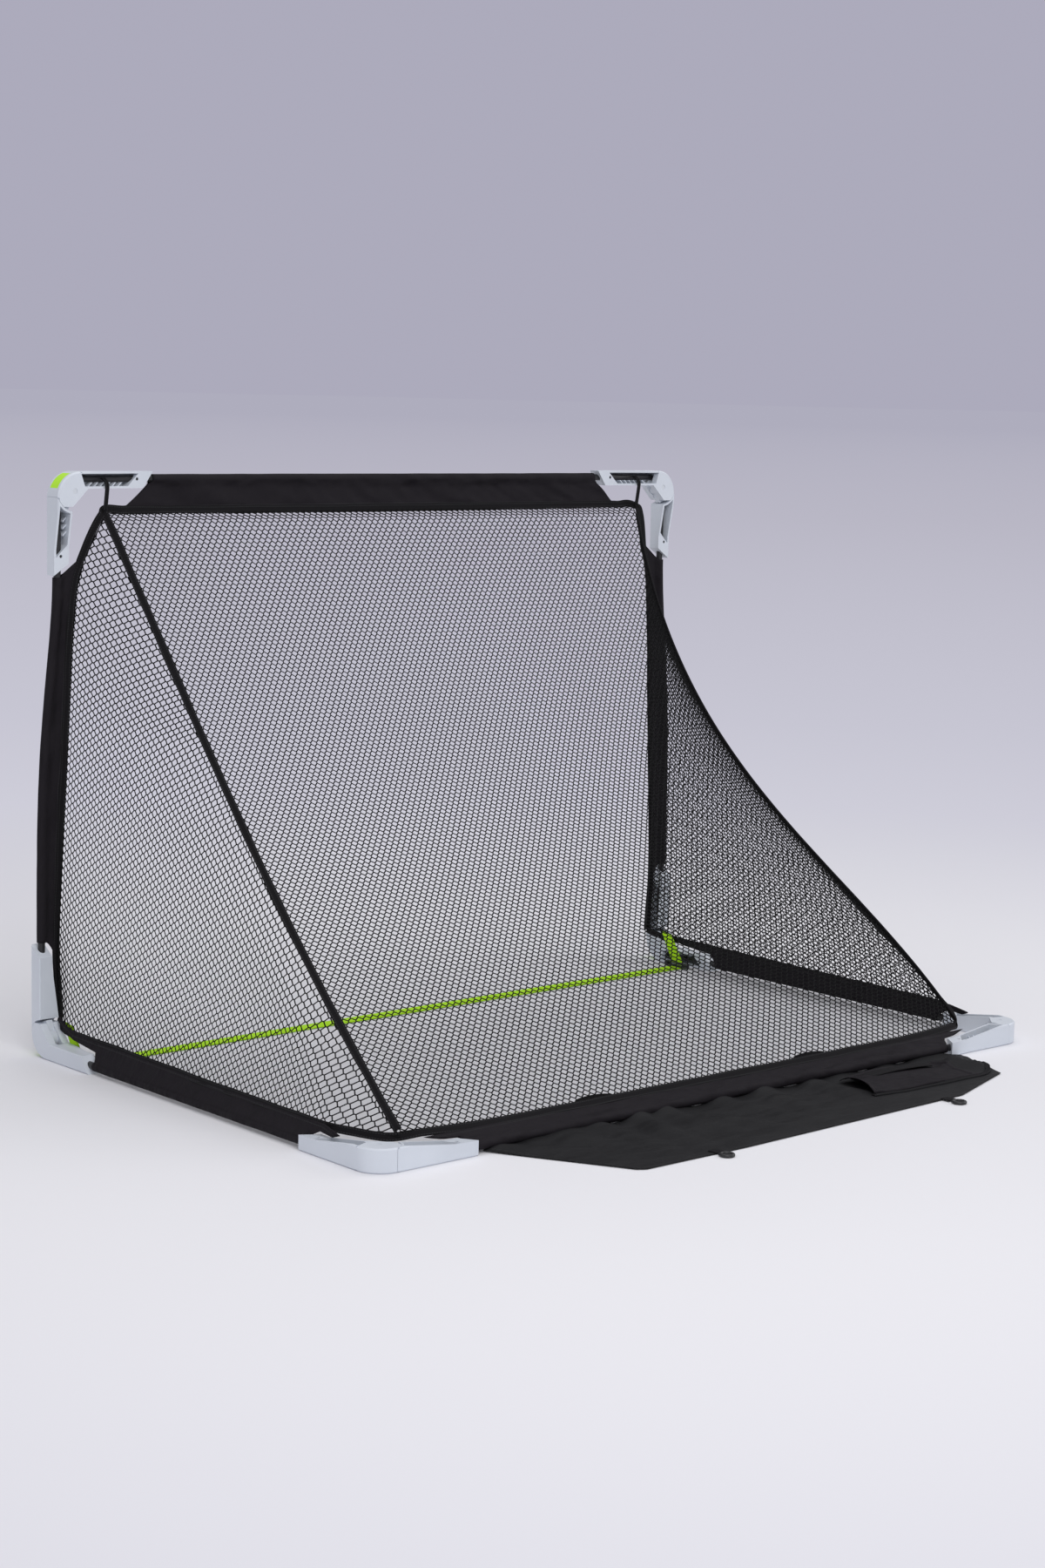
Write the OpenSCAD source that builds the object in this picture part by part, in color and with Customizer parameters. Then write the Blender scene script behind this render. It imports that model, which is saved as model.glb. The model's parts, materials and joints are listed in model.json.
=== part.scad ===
// Folding hockey goal: rods joined by hinged corner brackets, fabric sleeves on
// the rods, a net laced to the sleeves and a carry-bag flap on the rear bar.
// The frame stands on z = 0 with its mouth towards -Y. Left is -X.

/* [Goal] */
// Width over the front feet
base_w = 1200; // [900:10:1800]
// Width over the top corners, which the net pulls inwards
top_w = 1150; // [850:10:1800]
// Height of the mouth
goal_h = 800; // [600:10:1200]
// Depth from the mouth to the rear bar
goal_d = 765; // [600:5:1200]

/* [Rods] */
// Diameter of every rod
rod_d = 10; // [8:0.5:11]
// Distance from a bracket's outer faces to the rod's centre
rod_c = 10.5; // [9:0.5:11]

/* [Corner brackets] */
// Width of an arm in the plane of its two rods
arm_w = 23; // [21:0.5:24]
// Thickness of a bracket over its hinge
corner_t = 31; // [28:0.5:36]
// Thickness of an arm at its tip
tip_t = 20; // [19:0.5:24]
// Radius of the outer corner
corner_r = 35; // [30:1:38]
// Distance of the hinge pin from both outer faces
pivot_c = 26; // [25:0.5:28]
// Radius of the joint line round the pin
joint_r = 27; // [26:0.5:28]
// Length of the arms on the crossbar
top_bar_arm = 158; // [120:1:180]
// Length of the arms on the tops of the posts
top_post_arm = 140; // [120:1:180]
// Length of the arms on the feet of the posts
foot_post_arm = 155; // [120:1:180]
// Length of the arms on the front ends of the side rods
foot_side_arm = 143; // [120:1:180]
// Length of the arms on the rear ends of the side rods
rear_side_arm = 150; // [120:1:180]
// Length of the arms on the rear bar
rear_bar_arm = 160; // [120:1:180]

/* [Sleeves and net] */
// Width of the crossbar's sleeve band, from the rod's outer face to the hem
band_w = 50; // [40:1:60]
// Thickness of a sleeve's doubled fabric
band_t = 2.4; // [2:0.1:4]
// Width of the hem binding and of the seam tapes
hem_w = 9; // [6:0.5:12]
// Thickness of the net
net_t = 1.6; // [1.2:0.1:3]
// Gaps across the back net
net_cols = 14; // [8:1:16]
// Gaps down the back net
net_rows = 12; // [8:1:14]
// Rows of gaps down a side net, one gap in the first and two more in each next
side_rows = 8; // [5:1:9]
// Share of a gap's place that is open
net_open = 0.84; // [0.7:0.01:0.9]

/* [Carry bag] */
// Reach of the flap and its hooks behind the rear bar
bag_reach = 192; // [150:1:260]
// Thickness of the flap
flap_t = 1.8; // [1.2:0.1:3]

/* [Hidden] */
$fn = 48;
seat = 0.05;                      // radial room round rods, pins and screws
slot_room = 0.3;                  // room on each side of a hinge tongue
wall = 3;                         // wall of a bracket
total_d = goal_d + bag_reach;
web_k = 70;                       // the inner web's face is the line u + v = web_k
web_u = web_k - arm_w;            // where an arm leaves the web
tongue_rod_start = web_u + 4;     // where a rod ends inside a tongue half
cheek_rod_start = 35;             // where a rod ends inside a cheek half
end_slant = 16;                   // how far an arm's tip slants back
edge_cut = 2;                     // bevel along the outer edges
tongue_r = 12;
tongue_n = [10.8, 20.2];          // a tongue's two faces, from the outer face
pin_r = 3;
pin_head_r = 3.8;
pin_head_t = 2;
screw_r = 1.3;
screw_head_r = 2.2;
screw_back = 26;                  // a screw's distance from the arm's tip
window_near = 36;                 // where a window starts, from the corner
window_back = 24;                 // where it ends, from the arm's tip
window_slant = [6, 17];           // how far its two ends slant
window_floor = 4;
rib_pitch = 9.5;
rib_t = 2.2;
rib_lean = 6;
rib_top = 18;
rib_v = [15, 21];                 // a rib's reach across the arm
rib_first = [50, 66];             // first ribs in a cheek half and a tongue half
insert_t = 2;
insert_n = [6, 25];
insert_half = 14;
sleeve_r = 6.6;                   // outside of the fabric round a rod
sleeve_in = 5.3;
sleeve_gap = 3;                   // from an arm's tip to the sleeve
apex_x = top_w/2 - 78;            // the hem's top corner, from the middle
apex_y = 24;                      // which the net's pull draws back
apex_z = goal_h - band_w - 6;
foot_hem_z = 66;                  // where the post's hem meets the side hem
hem_t = 3.6;
// The mouth hem's outer edge up a post and round to the crossbar: how far it
// lies inside the line of the brackets' outer faces, and its share of the height
hem_inset = [[34, 0.0825], [26, 0.19], [27, 0.34], [30, 0.5], [33, 0.7],
             [38, 0.8], [49, 0.853], [74, 1 - (band_w + 4.5)/goal_h],
             [118, 1 - band_w/goal_h]];
hem_corner = 7;                   // the hem_inset point at the top corner
side_lean = 22;                   // lean of the side bands towards the net
side_hem_l = 33;                  // from a side rod's centre to the side hem
rear_lean = 54;
rear_hem_l = 27;                  // from the rear bar's centre to the rear hem
// The seam between the back and a side net: its ends, how far its middle hangs
// inside the straight line, and how much more its upper half hangs
seam_top = [-apex_x, apex_y, apex_z];
seam_foot = [82 - base_w/2, goal_d - 54, 27];
seam_sag = [-36, 13, 72];
seam_skew = [-30, 9, 54];
seam_t = 2.4;
seam_room = 4.5;                  // from the seam's middle to a net's edge
foot_bow = 24;                    // how far the back net's foot bows to the rear
side_bow = [-36, 0, -6];          // how far the middle of a side net's foot bows out
post_z = [foot_post_arm + sleeve_gap, goal_h - top_post_arm - sleeve_gap];
post_x = [-base_w/2 + rod_c, -top_w/2 + rod_c];
cord_r = 1.5;
strap_y = 88;                     // middle of the goal-line strap
strap_w = 28;
strap_t = 1.8;
bag_x = [-436, 424];              // ends of the flap along the rear bar
hook_x = [-240, 196];             // the hooks along the flap's far edge
hook_ring_r = 8;
hook_wire_r = 2.2;
hook_y = goal_d + bag_reach - hook_ring_r - hook_wire_r;

light = [0.80, 0.83, 0.86];
fabric = [0.13, 0.12, 0.14];
neon = [0.72, 1.0, 0.2];
dark = [0.08, 0.08, 0.09];

// ---- placing -------------------------------------------------------------

// From the goal line's frame to the part's own, whose origin is mid-depth
module in_frame() { translate([0, -total_d/2, 0]) children(); }

// A piece of the left side, or its mirror image on the right
module on_side(side) {
    in_frame() mirror([side == "right" ? 1 : 0, 0, 0]) children();
}

// Bracket frames: u and v run along the two arms, n goes in from the outer face
module top_corner() { translate([-top_w/2, 0, goal_h]) rotate([-90, 0, 0]) children(); }
module foot_corner() { translate([-base_w/2, 0, 0]) rotate([90, 0, 90]) children(); }
module rear_corner() { translate([-base_w/2, goal_d, 0]) rotate([0, 0, -90]) children(); }

// Turns an arm drawn along u into the arm along v of the same bracket
module along_v() { mirror([1, -1, 0]) children(); }

module at_pivot() { translate([pivot_c, pivot_c, 0]) children(); }

// ---- hinged corner brackets ----------------------------------------------

// The arm along u: its plan, its thinning side view and its bevelled section
module arm_blank(len) {
    intersection() {
        linear_extrude(corner_t)
            polygon([[web_u - 10, 0], [len, 0], [len - end_slant, arm_w],
                     [web_u - 10, arm_w]]);
        translate([0, arm_w + 1, 0]) rotate([90, 0, 0]) linear_extrude(arm_w + 2)
            polygon([[0, 0], [len, 0], [len, tip_t], [len - 35, tip_t + 0.5],
                     [web_u, corner_t], [0, corner_t]]);
        rotate([90, 0, 90]) linear_extrude(len)
            polygon([[edge_cut, 0], [arm_w - 1, 0], [arm_w, 1], [arm_w, corner_t],
                     [edge_cut/2, corner_t], [0, corner_t - edge_cut], [0, edge_cut]]);
    }
}

// The rounded corner with its bevelled rims and the web across the inner side
module corner_blank() {
    intersection() {
        translate([corner_r, corner_r, 0]) union() {
            cylinder(h = edge_cut, r1 = corner_r - edge_cut, r2 = corner_r);
            translate([0, 0, edge_cut]) cylinder(h = corner_t - 2*edge_cut, r = corner_r);
            translate([0, 0, corner_t - edge_cut])
                cylinder(h = edge_cut, r1 = corner_r, r2 = corner_r - edge_cut);
        }
        cube([corner_r, corner_r, corner_t]);
    }
    linear_extrude(corner_t)
        polygon([[corner_r, edge_cut], [web_u, edge_cut], [web_u, arm_w],
                 [arm_w, web_u], [edge_cut, web_u], [edge_cut, corner_r]]);
    translate([0, 0, edge_cut]) linear_extrude(corner_t - 2*edge_cut)
        polygon([[corner_r, 0], [web_u, 0], [web_u, arm_w], [arm_w, web_u],
                 [0, web_u], [0, corner_r]]);
}

// Room for the rod: a bore from the tip, open to the window
module rod_bore(len, start) {
    translate([start - 1, rod_c, rod_c]) rotate([0, 90, 0])
        cylinder(h = len, r = rod_d/2 + seat);
}

// The slanted window through which the rod and the ribs show
module arm_window(len) {
    far = len - window_back;
    translate([0, 0, window_floor]) linear_extrude(corner_t)
        polygon([[window_near, wall], [far, wall], [far - window_slant[1], arm_w - wall],
                 [window_near + window_slant[0], arm_w - wall]]);
}

// Slanted ribs between the rod and the arm's inner wall
module cradle_ribs(len, start, first) {
    last = len - window_back - window_slant[1] - rib_lean;
    difference() {
        for (u = [first : rib_pitch : last])
            translate([u, 0, window_floor - 1]) linear_extrude(rib_top - window_floor + 1)
                polygon([[0, rib_v[0]], [rib_t, rib_v[0]],
                         [rib_t - rib_lean, rib_v[1]], [-rib_lean, rib_v[1]]]);
        rod_bore(len, start);
    }
}

module screw_hole(len) {
    translate([len - screw_back, rod_c, tip_t - 3])
        cylinder(h = corner_t, r = screw_head_r + seat);
    translate([len - screw_back, rod_c, 2]) cylinder(h = corner_t, r = screw_r + seat);
}

// The half that carries the corner, both cheeks of the hinge and the pin
module cheek_half(len, inlaid) {
    difference() {
        union() {
            difference() {
                union() { corner_blank(); arm_blank(len); }
                rod_bore(len, cheek_rod_start);
                arm_window(len);
                screw_hole(len);
            }
            cradle_ribs(len, cheek_rod_start, rib_first[0]);
        }
        // the other arm's side of the joint line
        difference() {
            translate([-1, pivot_c, -1]) cube([web_k, web_k, corner_t + 2]);
            at_pivot() translate([0, 0, -2]) cylinder(h = corner_t + 4, r = joint_r);
        }
        tongue_slot();
        at_pivot() translate([0, 0, 1.5]) cylinder(h = corner_t, r = pin_r + seat);
        at_pivot() translate([0, 0, corner_t - pin_head_t - 0.5])
            cylinder(h = corner_t, r = pin_head_r + seat);
        if (inlaid) corner_inlay(seat);
    }
}

// The slot that the tongue swings in, behind the corner's outer skin
module tongue_slot() {
    h = tongue_n[1] - tongue_n[0] + 2*slot_room;
    skin_r = corner_r - wall - insert_t;
    translate([0, 0, tongue_n[0] - slot_room]) difference() {
        at_pivot() cylinder(h = h, r = joint_r + 0.4);
        translate([-5, -5, -1]) cube([web_k, wall + 5, h + 2]);
        translate([-5, -5, -1]) cube([wall + 5, web_k, h + 2]);
        difference() {
            translate([0, 0, -1]) cube([corner_r, corner_r, h + 2]);
            translate([corner_r, corner_r, -2]) cylinder(h = h + 4, r = skin_r);
        }
    }
}

// The half that ends in the tongue
module tongue_half(len) {
    tongue_h = tongue_n[1] - tongue_n[0];
    along_v() difference() {
        union() {
            difference() {
                union() {
                    intersection() {
                        corner_blank();
                        translate([pivot_c, 0, 0]) cube([web_k, web_k, corner_t]);
                    }
                    arm_blank(len);
                }
                at_pivot() translate([0, 0, -1])
                    cylinder(h = corner_t + 2, r = joint_r + 0.4);
                rod_bore(len, tongue_rod_start);
                difference() {
                    arm_window(len);
                    at_pivot() cylinder(h = corner_t, r = joint_r + 0.4 + wall);
                }
                screw_hole(len);
            }
            cradle_ribs(len, tongue_rod_start, rib_first[1]);
            at_pivot() translate([0, 0, tongue_n[0]]) cylinder(h = tongue_h, r = tongue_r);
            translate([0, 0, tongue_n[0]]) linear_extrude(tongue_h)
                polygon([[pivot_c, pivot_c - tongue_r], [web_u - 1, wall + 3],
                         [web_u + 4, arm_w - 1], [pivot_c, pivot_c + tongue_r - 4]]);
        }
        at_pivot() translate([0, 0, -1]) cylinder(h = corner_t + 2, r = pin_r + seat);
        rod_bore(len, tongue_rod_start);
    }
}

// The coloured inlay round the outer corner
module corner_inlay(room) {
    translate([corner_r, corner_r, insert_n[0] - room]) intersection() {
        difference() {
            cylinder(h = insert_n[1] - insert_n[0] + 2*room, r = corner_r + 3*room);
            translate([0, 0, -1]) cylinder(h = corner_t, r = corner_r - insert_t - room);
        }
        rotate([0, 0, 225]) translate([corner_r/2, -insert_half - room, -1])
            cube([corner_r, 2*(insert_half + room), corner_t]);
    }
}

module hinge_pin() {
    at_pivot() {
        translate([0, 0, 1.6]) cylinder(h = corner_t - pin_head_t - 1.6, r = pin_r);
        translate([0, 0, corner_t - pin_head_t - 0.45]) cylinder(h = pin_head_t, r = pin_head_r);
    }
}

// One screw in the arm along u
module arm_screw(len) {
    translate([len - screw_back, rod_c, 0]) {
        translate([0, 0, 2.5]) cylinder(h = tip_t - 4, r = screw_r);
        translate([0, 0, tip_t - 2.95]) difference() {
            cylinder(h = 1.9, r = screw_head_r);
            for (a = [0, 90]) rotate([0, 0, a]) translate([-1.4, -0.3, 1.1])
                cube([2.8, 0.6, 2]);
        }
    }
}

// ---- rods ----------------------------------------------------------------

// Points round p, square to the direction d of a route in the plane across n
function ring(p, d, n, r, sides) = [for (i = [0 : sides - 1])
    p + r*(cos(360*i/sides)*n + sin(360*i/sides)*cross(d/norm(d), n))];

// A route's direction at its point i
function along(route, i) =
    route[min(i + 1, len(route) - 1)] - route[max(i - 1, 0)];

// A closed solid through rings of as many points each
module skinned(rings) {
    sides = len(rings[0]);
    last = len(rings) - 1;
    walls = [for (i = [0 : last - 1], j = [0 : sides - 1])
        let (a = i*sides + j, b = i*sides + (j + 1) % sides)
        each [[a, b, b + sides], [a, b + sides, a + sides]]];
    ends = [[for (j = [0 : sides - 1]) sides - 1 - j],
            [for (j = [0 : sides - 1]) last*sides + j]];
    polyhedron([for (line = rings) each line], concat(walls, ends));
}

// A round bar swept along a route that lies in one plane, across n
module swept_rod(route, n, r, sides) {
    skinned([for (i = [0 : len(route) - 1])
        ring(route[i], along(route, i), n, r, sides)]);
}

// A flat band swept along a route: w wide, and t thick along n
module swept_band(route, n, w, t) {
    skinned([for (i = [0 : len(route) - 1])
        let (side = cross(along(route, i), n), e = w/2*side/norm(side), f = t/2*n)
        [route[i] - e - f, route[i] - e + f, route[i] + e + f, route[i] + e - f]]);
}

// A rod along z with the cross holes for the screws at its ends
module straight_rod(len, holes) {
    difference() {
        cylinder(h = len, r = rod_d/2);
        for (h = holes) translate([0, 0, h]) rotate([90, 0, 0])
            cylinder(h = rod_d + 2, r = screw_r + seat, center = true);
    }
}

module rear_bar() {
    half = base_w/2 - tongue_rod_start;
    hole = rear_bar_arm - screw_back - tongue_rod_start;
    color(dark) in_frame() translate([-half, goal_d - rod_c, rod_c])
        rotate([90, 0, 90]) straight_rod(2*half, [hole, 2*half - hole]);
}

module side_rod(side) {
    len = goal_d - 2*cheek_rod_start;
    front_hole = foot_side_arm - screw_back - cheek_rod_start;
    rear_hole = len - (rear_side_arm - screw_back - cheek_rod_start);
    color(dark) on_side(side) translate([-base_w/2 + rod_c, cheek_rod_start, rod_c])
        rotate([-90, 0, 0]) difference() {
            cylinder(h = len, r = rod_d/2);
            translate([0, 0, front_hole]) rotate([0, 90, 0])
                cylinder(h = rod_d + 2, r = screw_r + seat, center = true);
            translate([0, 0, rear_hole]) rotate([90, 0, 0])
                cylinder(h = rod_d + 2, r = screw_r + seat, center = true);
        }
}

module crossbar() {
    half = top_w/2 - cheek_rod_start;
    hole = top_bar_arm - screw_back - cheek_rod_start;
    color(dark) in_frame() translate([-half, rod_c, goal_h - rod_c])
        rotate([0, 90, 0]) straight_rod(2*half, [hole, 2*half - hole]);
}

// The middle of the bent post, a share t of the way up its flexed stretch
function post_point(t) = [
    post_x[0] + (post_x[1] - post_x[0])*pow(t, 4)*(5 - 4*t),
    rod_c, post_z[0] + (post_z[1] - post_z[0])*t];

// The bent post's route, upright below and above its flexed stretch
function post_route(steps, low, high) = concat(
    low < post_z[0] ? [[post_x[0], rod_c, low]] : [],
    [for (i = [0 : steps]) post_point(i/steps)],
    high > post_z[1] ? [[post_x[1], rod_c, high]] : []);

// A post: upright in both brackets and drawn inwards between them
module post(side) {
    route = post_route(16, tongue_rod_start, goal_h - tongue_rod_start);
    color(dark) on_side(side) difference() {
        swept_rod(route, [0, 1, 0], rod_d/2, 20);
        translate([post_x[0], rod_c, foot_post_arm - screw_back]) rotate([0, 90, 0])
            cylinder(h = rod_d + 2, r = screw_r + seat, center = true);
        translate([post_x[1], rod_c, goal_h - top_post_arm + screw_back]) rotate([90, 0, 0])
            cylinder(h = rod_d + 2, r = screw_r + seat, center = true);
    }
}

// ---- sleeves, net and straps ---------------------------------------------

// A share t of the way down the left seam
function seam_point(t) = let (w = 4*t*(1 - t))
    seam_top + (seam_foot - seam_top)*t - w*seam_sag - w*(1 - 2*t)*seam_skew;

// The hem's outer edge on the left, seen from the front
hem_edge = [for (p = hem_inset)
    [p[0] - (base_w + (top_w - base_w)*p[1])/2, goal_h*p[1]]];

// The hem's middle, drawn back to the net at the top corner
hem_route = [for (i = [0 : len(hem_edge) - 1])
    let (d = along(hem_edge, i), p = hem_edge[i] + (hem_w/2 + 0.3)*[d[1], -d[0]]/norm(d))
    [p[0], i == hem_corner ? apex_y : rod_c, p[1]]];

// Where the hem runs at height z: its inner edge and its middle's y
function hem_x(z) = lookup(z, [for (p = hem_edge) [p[1], p[0]]]) + hem_w + 1;
function hem_y(z) = lookup(z, [for (p = hem_route) [p[2], p[1]]]);

module crossbar_sleeve() {
    end_x = top_w/2 - top_bar_arm - sleeve_gap;
    hem_end = hem_edge[len(hem_edge) - 1];
    color(fabric) in_frame() difference() {
        union() {
            translate([-end_x, rod_c, goal_h - rod_c]) rotate([0, 90, 0])
                cylinder(h = 2*end_x, r = sleeve_r);
            translate([0, rod_c + band_t/2, 0]) rotate([90, 0, 0]) linear_extrude(band_t)
                polygon([[-end_x, goal_h - rod_c], hem_end, [-hem_end[0], hem_end[1]],
                         [end_x, goal_h - rod_c]]);
        }
        translate([-end_x - 20, rod_c, goal_h - rod_c]) rotate([0, 90, 0])
            cylinder(h = 2*end_x + 40, r = sleeve_in);
    }
}

// The bent post seen from the front: half wide on each side of its middle
module post_strip(half, low, high) {
    route = post_route(12, low, high);
    polygon(concat([for (p = route) [p[0] - half, p[2]]],
                   [for (i = [1 : len(route)]) let (p = route[len(route) - i])
                       [p[0] + half, p[2]]]));
}

module post_sleeve(side) {
    color(fabric) on_side(side) translate([0, rod_c, 0]) rotate([90, 0, 0]) difference() {
        union() {
            linear_extrude(2*sleeve_r, center = true)
                post_strip(sleeve_r, post_z[0], post_z[1]);
            linear_extrude(band_t, center = true)
                polygon([[post_x[0], post_z[0]], [post_x[0] + 13, post_z[0] - 8],
                         [post_x[0] + 19, post_z[0] - 26],
                         for (i = [1 : hem_corner - 1]) hem_edge[i],
                         [post_x[1] + 15, post_z[1] + 12], [post_x[1], post_z[1]],
                         for (i = [8 : -1 : 1]) let (p = post_point(i/9)) [p[0], p[2]]]);
        }
        linear_extrude(2*sleeve_in, center = true)
            post_strip(sleeve_in, post_z[0] - 20, post_z[1] + 20);
    }
}

module rear_sleeve() {
    end_x = base_w/2 - rear_bar_arm - sleeve_gap;
    hem_end = end_x + 38;
    color(fabric) in_frame() translate([0, goal_d - rod_c, rod_c]) difference() {
        union() {
            translate([-end_x, 0, 0]) rotate([0, 90, 0]) cylinder(h = 2*end_x, r = sleeve_r);
            rotate([rear_lean, 0, 0]) translate([0, band_t/2, 0]) rotate([90, 0, 0])
                linear_extrude(band_t)
                    polygon([[-end_x, 0], [-end_x - 14, 17.5], [-hem_end, 19],
                             [-hem_end, rear_hem_l], [hem_end, rear_hem_l],
                             [hem_end, 19], [end_x + 14, 17.5], [end_x, 0]]);
        }
        translate([-end_x - 20, 0, 0]) rotate([0, 90, 0])
            cylinder(h = 2*end_x + 40, r = sleeve_in);
    }
}

module side_sleeve(side) {
    y_front = foot_side_arm + sleeve_gap;
    y_rear = goal_d - rear_side_arm - sleeve_gap;
    color(fabric) on_side(side) translate([-base_w/2 + rod_c, y_front, rod_c])
        rotate([-90, 0, 0]) difference() {
            cylinder(h = y_rear - y_front, r = sleeve_r);
            translate([0, 0, -1]) cylinder(h = goal_d, r = sleeve_in);
        }
}

// The standing band over a side rod, leaning in to meet the net
module side_band(side) {
    y_front = foot_side_arm + sleeve_gap;
    y_rear = goal_d - rear_side_arm - sleeve_gap;
    low = sleeve_r + 0.3;
    high = side_hem_l;
    color(fabric) on_side(side) translate([-base_w/2 + rod_c, 0, rod_c])
        rotate([0, side_lean, 0]) rotate([90, 0, 90])
            translate([0, 0, -band_t/2]) linear_extrude(band_t)
                polygon([[y_front, low], [y_front - 18, arm_w - 4], [76, high - hem_w],
                         [32, high + 7], [28, high + 15], [72, high],
                         [goal_d - 120, high - 6], [goal_d - 92, high - 14],
                         [goal_d - 98, high - 19], [y_rear + 18, arm_w - 6], [y_rear, low]]);
}

// A net as one closed sheet: cells over the points, each with a gap, and the
// border's edges, which run round the sheet with the cells on their left
module net_sheet(points, cells, border, depth) {
    count = len(points);
    gaps = [for (cell = cells)
        let (middle = [for (i = cell) 1] * [for (i = cell) points[i]]/len(cell))
        [for (i = cell) middle + (points[i] - middle)*net_open]];
    face = concat(points, [for (gap = gaps) each gap]);
    total = len(face);
    starts = [for (k = 0, at = count; k < len(cells); at = at + len(cells[k]), k = k + 1) at];
    faces = [for (k = [0 : len(cells) - 1])
        let (cell = cells[k], n = len(cell))
        for (j = [0 : n - 1])
            let (a = cell[j], b = cell[(j + 1) % n],
                 c = starts[k] + (j + 1) % n, d = starts[k] + j)
            each [[a, b, c], [a, c, d],
                  [b + total, a + total, c + total], [a + total, d + total, c + total],
                  [c, c + total, d + total], [c, d + total, d]]];
    rim = [for (e = border)
        each [[e[1], e[0], e[0] + total], [e[1], e[0] + total, e[1] + total]]];
    polyhedron(concat(face, [for (p = face) p + depth]), concat(faces, rim));
}

// A point of the back net, a share s down it and a share a across
function back_point(s, a) =
    let (p = seam_point(0.01 + 0.985*s), half = -p[0] - seam_room, q = 2*a - 1)
    [half*q, p[1] + foot_bow*pow(s, 6)*(1 - pow(q, 4)), p[2]];

module back_net() {
    w = net_cols + 1;
    points = [for (r = [0 : net_rows], c = [0 : net_cols])
        back_point(r/net_rows, c/net_cols)];
    cells = [for (r = [0 : net_rows - 1], c = [0 : net_cols - 1])
        [r*w + c, r*w + c + 1, (r + 1)*w + c + 1, (r + 1)*w + c]];
    border = [for (c = [0 : net_cols - 1])
                  each [[c, c + 1], [net_rows*w + c + 1, net_rows*w + c]],
              for (r = [0 : net_rows - 1])
                  each [[(r + 1)*w, r*w], [r*w + net_cols, (r + 1)*w + net_cols]]];
    color(dark) in_frame() net_sheet(points, cells, border, [0, -0.7, -0.7]*net_t);
}

// A point of the left side net, a share s down it and a share a to the rear,
// whose foot bows out to the side hem
function side_point(s, a) =
    let (z = apex_z + (foot_hem_z + 3 - apex_z)*s,
         front = [hem_x(z), hem_y(z) + 5, z],
         rear = seam_point(s) - [0, 1, 1]*(seam_room + 3)*0.7,
         bow = pow(s, 4)*4*a*(1 - a))
    front + (rear - front)*a + side_bow*bow;

module side_net(side) {
    points = [for (r = [0 : side_rows], c = [0 : r])
        side_point(0.035 + 0.965*r/side_rows, r == 0 ? 0.3 : c/r)];
    first = [for (r = [0 : side_rows]) r*(r + 1)/2];
    cells = [for (r = [0 : side_rows - 1], c = [0 : r])
        each [[first[r] + c, first[r + 1] + c + 1, first[r + 1] + c],
              if (c < r) [first[r] + c, first[r] + c + 1, first[r + 1] + c + 1]]];
    border = [for (r = [0 : side_rows - 1])
        each [[first[r + 1], first[r]],
              [first[r] + r, first[r + 1] + r + 1],
              [first[side_rows] + r + 1, first[side_rows] + r]]];
    color(dark) on_side(side) net_sheet(points, cells, border, [net_t, 0, 0]);
}

// The tape over the seam, square to the line that halves its two nets' angle
module seam_tape(side) {
    color(fabric) on_side(side)
        swept_band([for (i = [0 : 16]) seam_point(0.015 + 0.975*i/16)],
                   [-0.7, 0.5, 0.5], hem_w + 2, seam_t);
}

module front_hem() {
    last = len(hem_route) - 1;
    color(fabric) in_frame()
        swept_band(concat(hem_route, [for (i = [last : -1 : 0])
                       [-hem_route[i][0], hem_route[i][1], hem_route[i][2]]]),
                   [0, 1, 0], hem_w, hem_t);
}

// A doubled elastic from the crossbar, through the window, to the hem's corner
module shock_cord(side) {
    route = [[0, 17.4, 790], [0, 21, 789.5], [0, 25, 787.4], [0, 28, 784.4],
             [0, 29.2, 781], [0, 29.2, 776], [0, 27, 762], [0, 24.5, 747.5]];
    color(dark) on_side(side) for (dx = [-1.7, 1.7])
        translate([-apex_x + dx, 0, goal_h - 800])
            swept_rod(route, [1, 0, 0], cord_r, 8);
}

// Flat webbing along the ground between the front feet
module goal_line_strap() {
    half = base_w/2 - 30;
    color(neon) in_frame() translate([-half, strap_y - strap_w/2, 0.3])
        cube([2*half, strap_w, strap_t]);
}

// Webbing from the strap's end up to the hem's front corner
module corner_tab(side) {
    foot = [strap_y - strap_w/2 - 4, strap_y + strap_w/2 - 6];
    top = [38, 64];
    color(neon) on_side(side) translate([-base_w/2 + corner_t + 0.6, 0, 0])
        rotate([90, 0, 90]) linear_extrude(strap_t)
            polygon([[foot[0], 3], [foot[1], 3], [top[1], foot_hem_z - 10],
                     [top[0], foot_hem_z - 4]]);
}

// The bars that hold the strap's ends, standing clear of the side arms
module strap_keepers() {
    color(dark) in_frame() for (s = [-1, 1])
        translate([s*(base_w/2 - 44), strap_y, 5.5]) difference() {
            cube([7, strap_w + 22, 6.5], center = true);
            cube([9, strap_w + 12, 2.6], center = true);
        }
}

module closure_loops() {
    color(fabric) in_frame() for (x = [hook_x[0] + 53, hook_x[1] + 18])
        translate([x, goal_d - rod_c, rod_c]) rotate([rear_lean, 0, 0])
            translate([0, -band_t/2 - 1.3, rear_hem_l - 8]) cube([60, 2, 12], center = true);
}

// ---- carry bag ------------------------------------------------------------

module bag_flap() {
    y0 = goal_d - rod_c;
    color(fabric) in_frame() linear_extrude(flap_t)
        polygon([[bag_x[0], y0], [bag_x[1], y0], [328, y0 + 171], [317, y0 + 178],
                 [147, y0 + 180], [-276, y0 + 168], [-415, y0 + 119],
                 [bag_x[0] - 17, y0 + 16], [bag_x[0], y0 + 12]]);
}

module bag_pocket() {
    y0 = goal_d + 14;
    color(fabric) in_frame() translate([0, 0, flap_t]) linear_extrude(3)
        polygon([[-190, y0], [-168, y0 + 83], [-379, y0 + 88], [-380, y0]]);
}

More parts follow.
